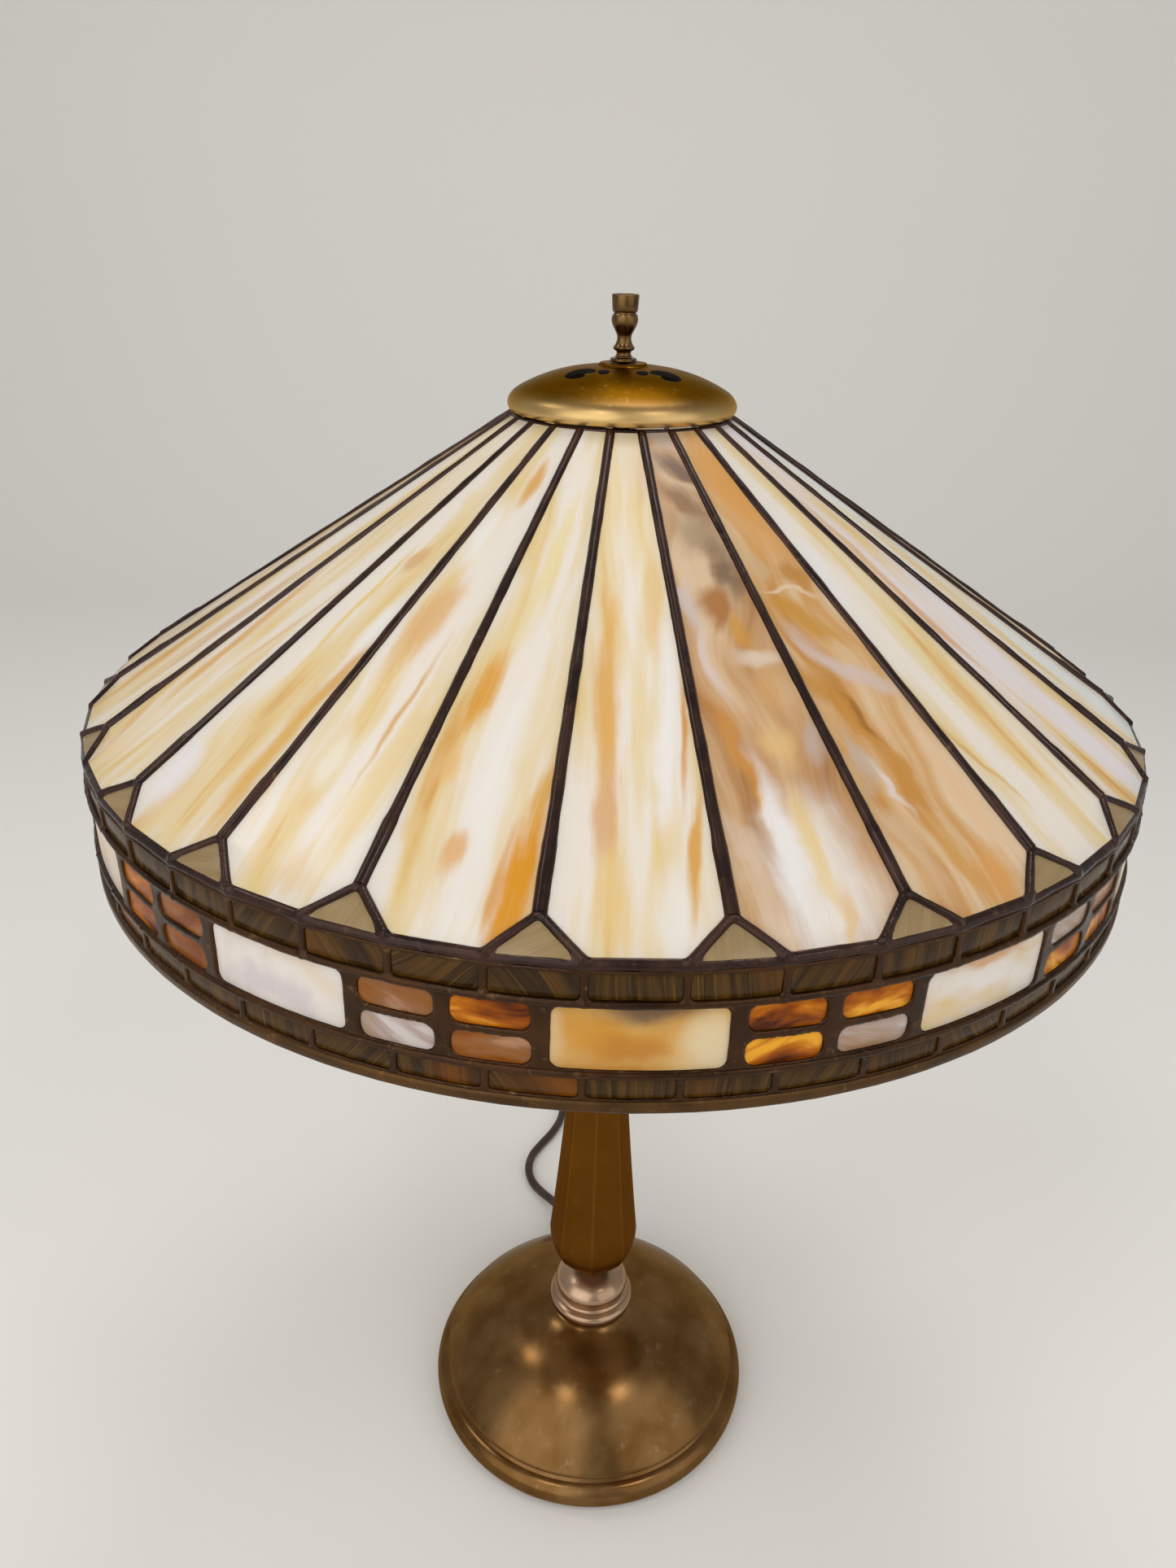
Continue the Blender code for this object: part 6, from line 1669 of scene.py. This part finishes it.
# Flat rings: radius, bore, bottom, top and edge in millimetres, then sides
ringSizes = {"seat_washer": (12.0, 4.4, 579.3, 580.8, 0.3, 56),
             "seat_hexagon": (10.0, 4.9, 573.1, 579.0, 0.7, 6),
             "finial_ring": (5.5, 2.8, 612.1, 613.6, 0.45, 56),
             "felt_disc": (90.0, 3.0, 0.0, 2.0, 0.5, 96)}
flatRings = [
    ("seat_washer", keepFinishes["fibre"], "shade_seat", "fibre", "shade_washer"),
    ("seat_hexagon", metal["brass"], "stand", "brass", "seat_nut"),
    ("finial_ring", metal["finialBrass"], "finial_seat", "finial_brass", "finial_washer"),
    ("felt_disc", keepFinishes["felt"], "stand", "felt", "felt_pad"),
]


def addFittings():
    addCluster()
    for number, heading in ((1, 1.0), (2, -1.0)):
        place = armPlace(heading)
        addSocket(number, place)
        addKey(number, place)
        addBulb(number, place)
    addRod()
    addSpider()
    addTopRing()
    for name, finish, body, slotName, node in flatRings:
        piece = flatRing(name, *ringSizes[name])
        smooth(piece, 35.0)
        seat(piece, finish, body, slotName, node)


addFittings()
print("fittings made")

# CAD pieces that stay inside the base, with their own finishes
slotOf = {part["node"]: part["material_slot"] for part in frame["record"]["subparts"]}
for nodeName, node in frame["nodes"].items():
    if not node.hide_render:
        node.data.materials.clear()
        node.data.materials.append(keepFinishes[slotOf[nodeName]])
print("kept nodes finished:", sum(not node.hide_render for node in frame["nodes"].values()))
seat(plugBlades, metal["brass"], "stand", "brass")  # the plug came before the metals

# Floor, world and soft lamps
stage = {"floor": "#efece6", "world": 0.42, "aim": (0.0, 0.0, 0.4), "lamps": [
    ("key", (-1.2, -1.9, 1.3), 2.6, 27.0), ("fill", (1.7, -1.4, 1.1), 2.2, 12.0),
    ("top", (0.12, 0.45, 1.8), 0.6, 5.0), ("ceilingFront", (-0.49, -0.91, 1.94), 0.34, 3.0),
    ("ceilingRight", (0.76, -0.81, 1.9), 0.34, 3.0), ("ceilingLeft", (-1.22, 0.09, 1.83), 0.34, 2.2)]}


def addStage():
    clearSelection()
    bpy.ops.mesh.primitive_plane_add(size=6.0, location=(0.0, -1.4, 0.0))
    floor = startPiece("floor")
    pickVerts(floor, lambda co: co.y > 1.0)
    bpy.ops.mesh.spin(steps=16, angle=math.radians(-90.0), center=(0.0, 1.6, 0.9), axis=(1, 0, 0))
    bpy.ops.mesh.extrude_region_move(TRANSFORM_OT_translate={"value": (0.0, 0.0, 2.5)})
    bpy.ops.mesh.select_all(action="SELECT")
    bpy.ops.mesh.remove_doubles(threshold=0.1 * mm)
    bpy.ops.object.mode_set(mode="OBJECT")
    setDown(floor)
    smooth(floor, 60.0)
    finish, tree, shader = startFinish("floor_paper", 0.7)
    shader.inputs["Base Color"].default_value = colourOf(stage["floor"])
    floor.data.materials.append(finish)
    world = bpy.data.worlds.new("studio")
    world.use_nodes = True
    world.node_tree.nodes["Background"].inputs["Strength"].default_value = stage["world"]
    world.node_tree.nodes["Background"].inputs["Color"].default_value = (1.0, 1.0, 1.0, 1.0)
    bpy.context.scene.world = world
    for name, place, size, power in stage["lamps"]:
        light = bpy.data.lights.new(name, "AREA")
        light.size = size
        light.energy = power
        lamp = bpy.data.objects.new(name, light)
        bpy.context.scene.collection.objects.link(lamp)
        lamp.location = place
        towards = Vector(stage["aim"]) - Vector(place)
        lamp.rotation_euler = towards.to_track_quat("-Z", "Y").to_euler()


addStage()
print("stage set")
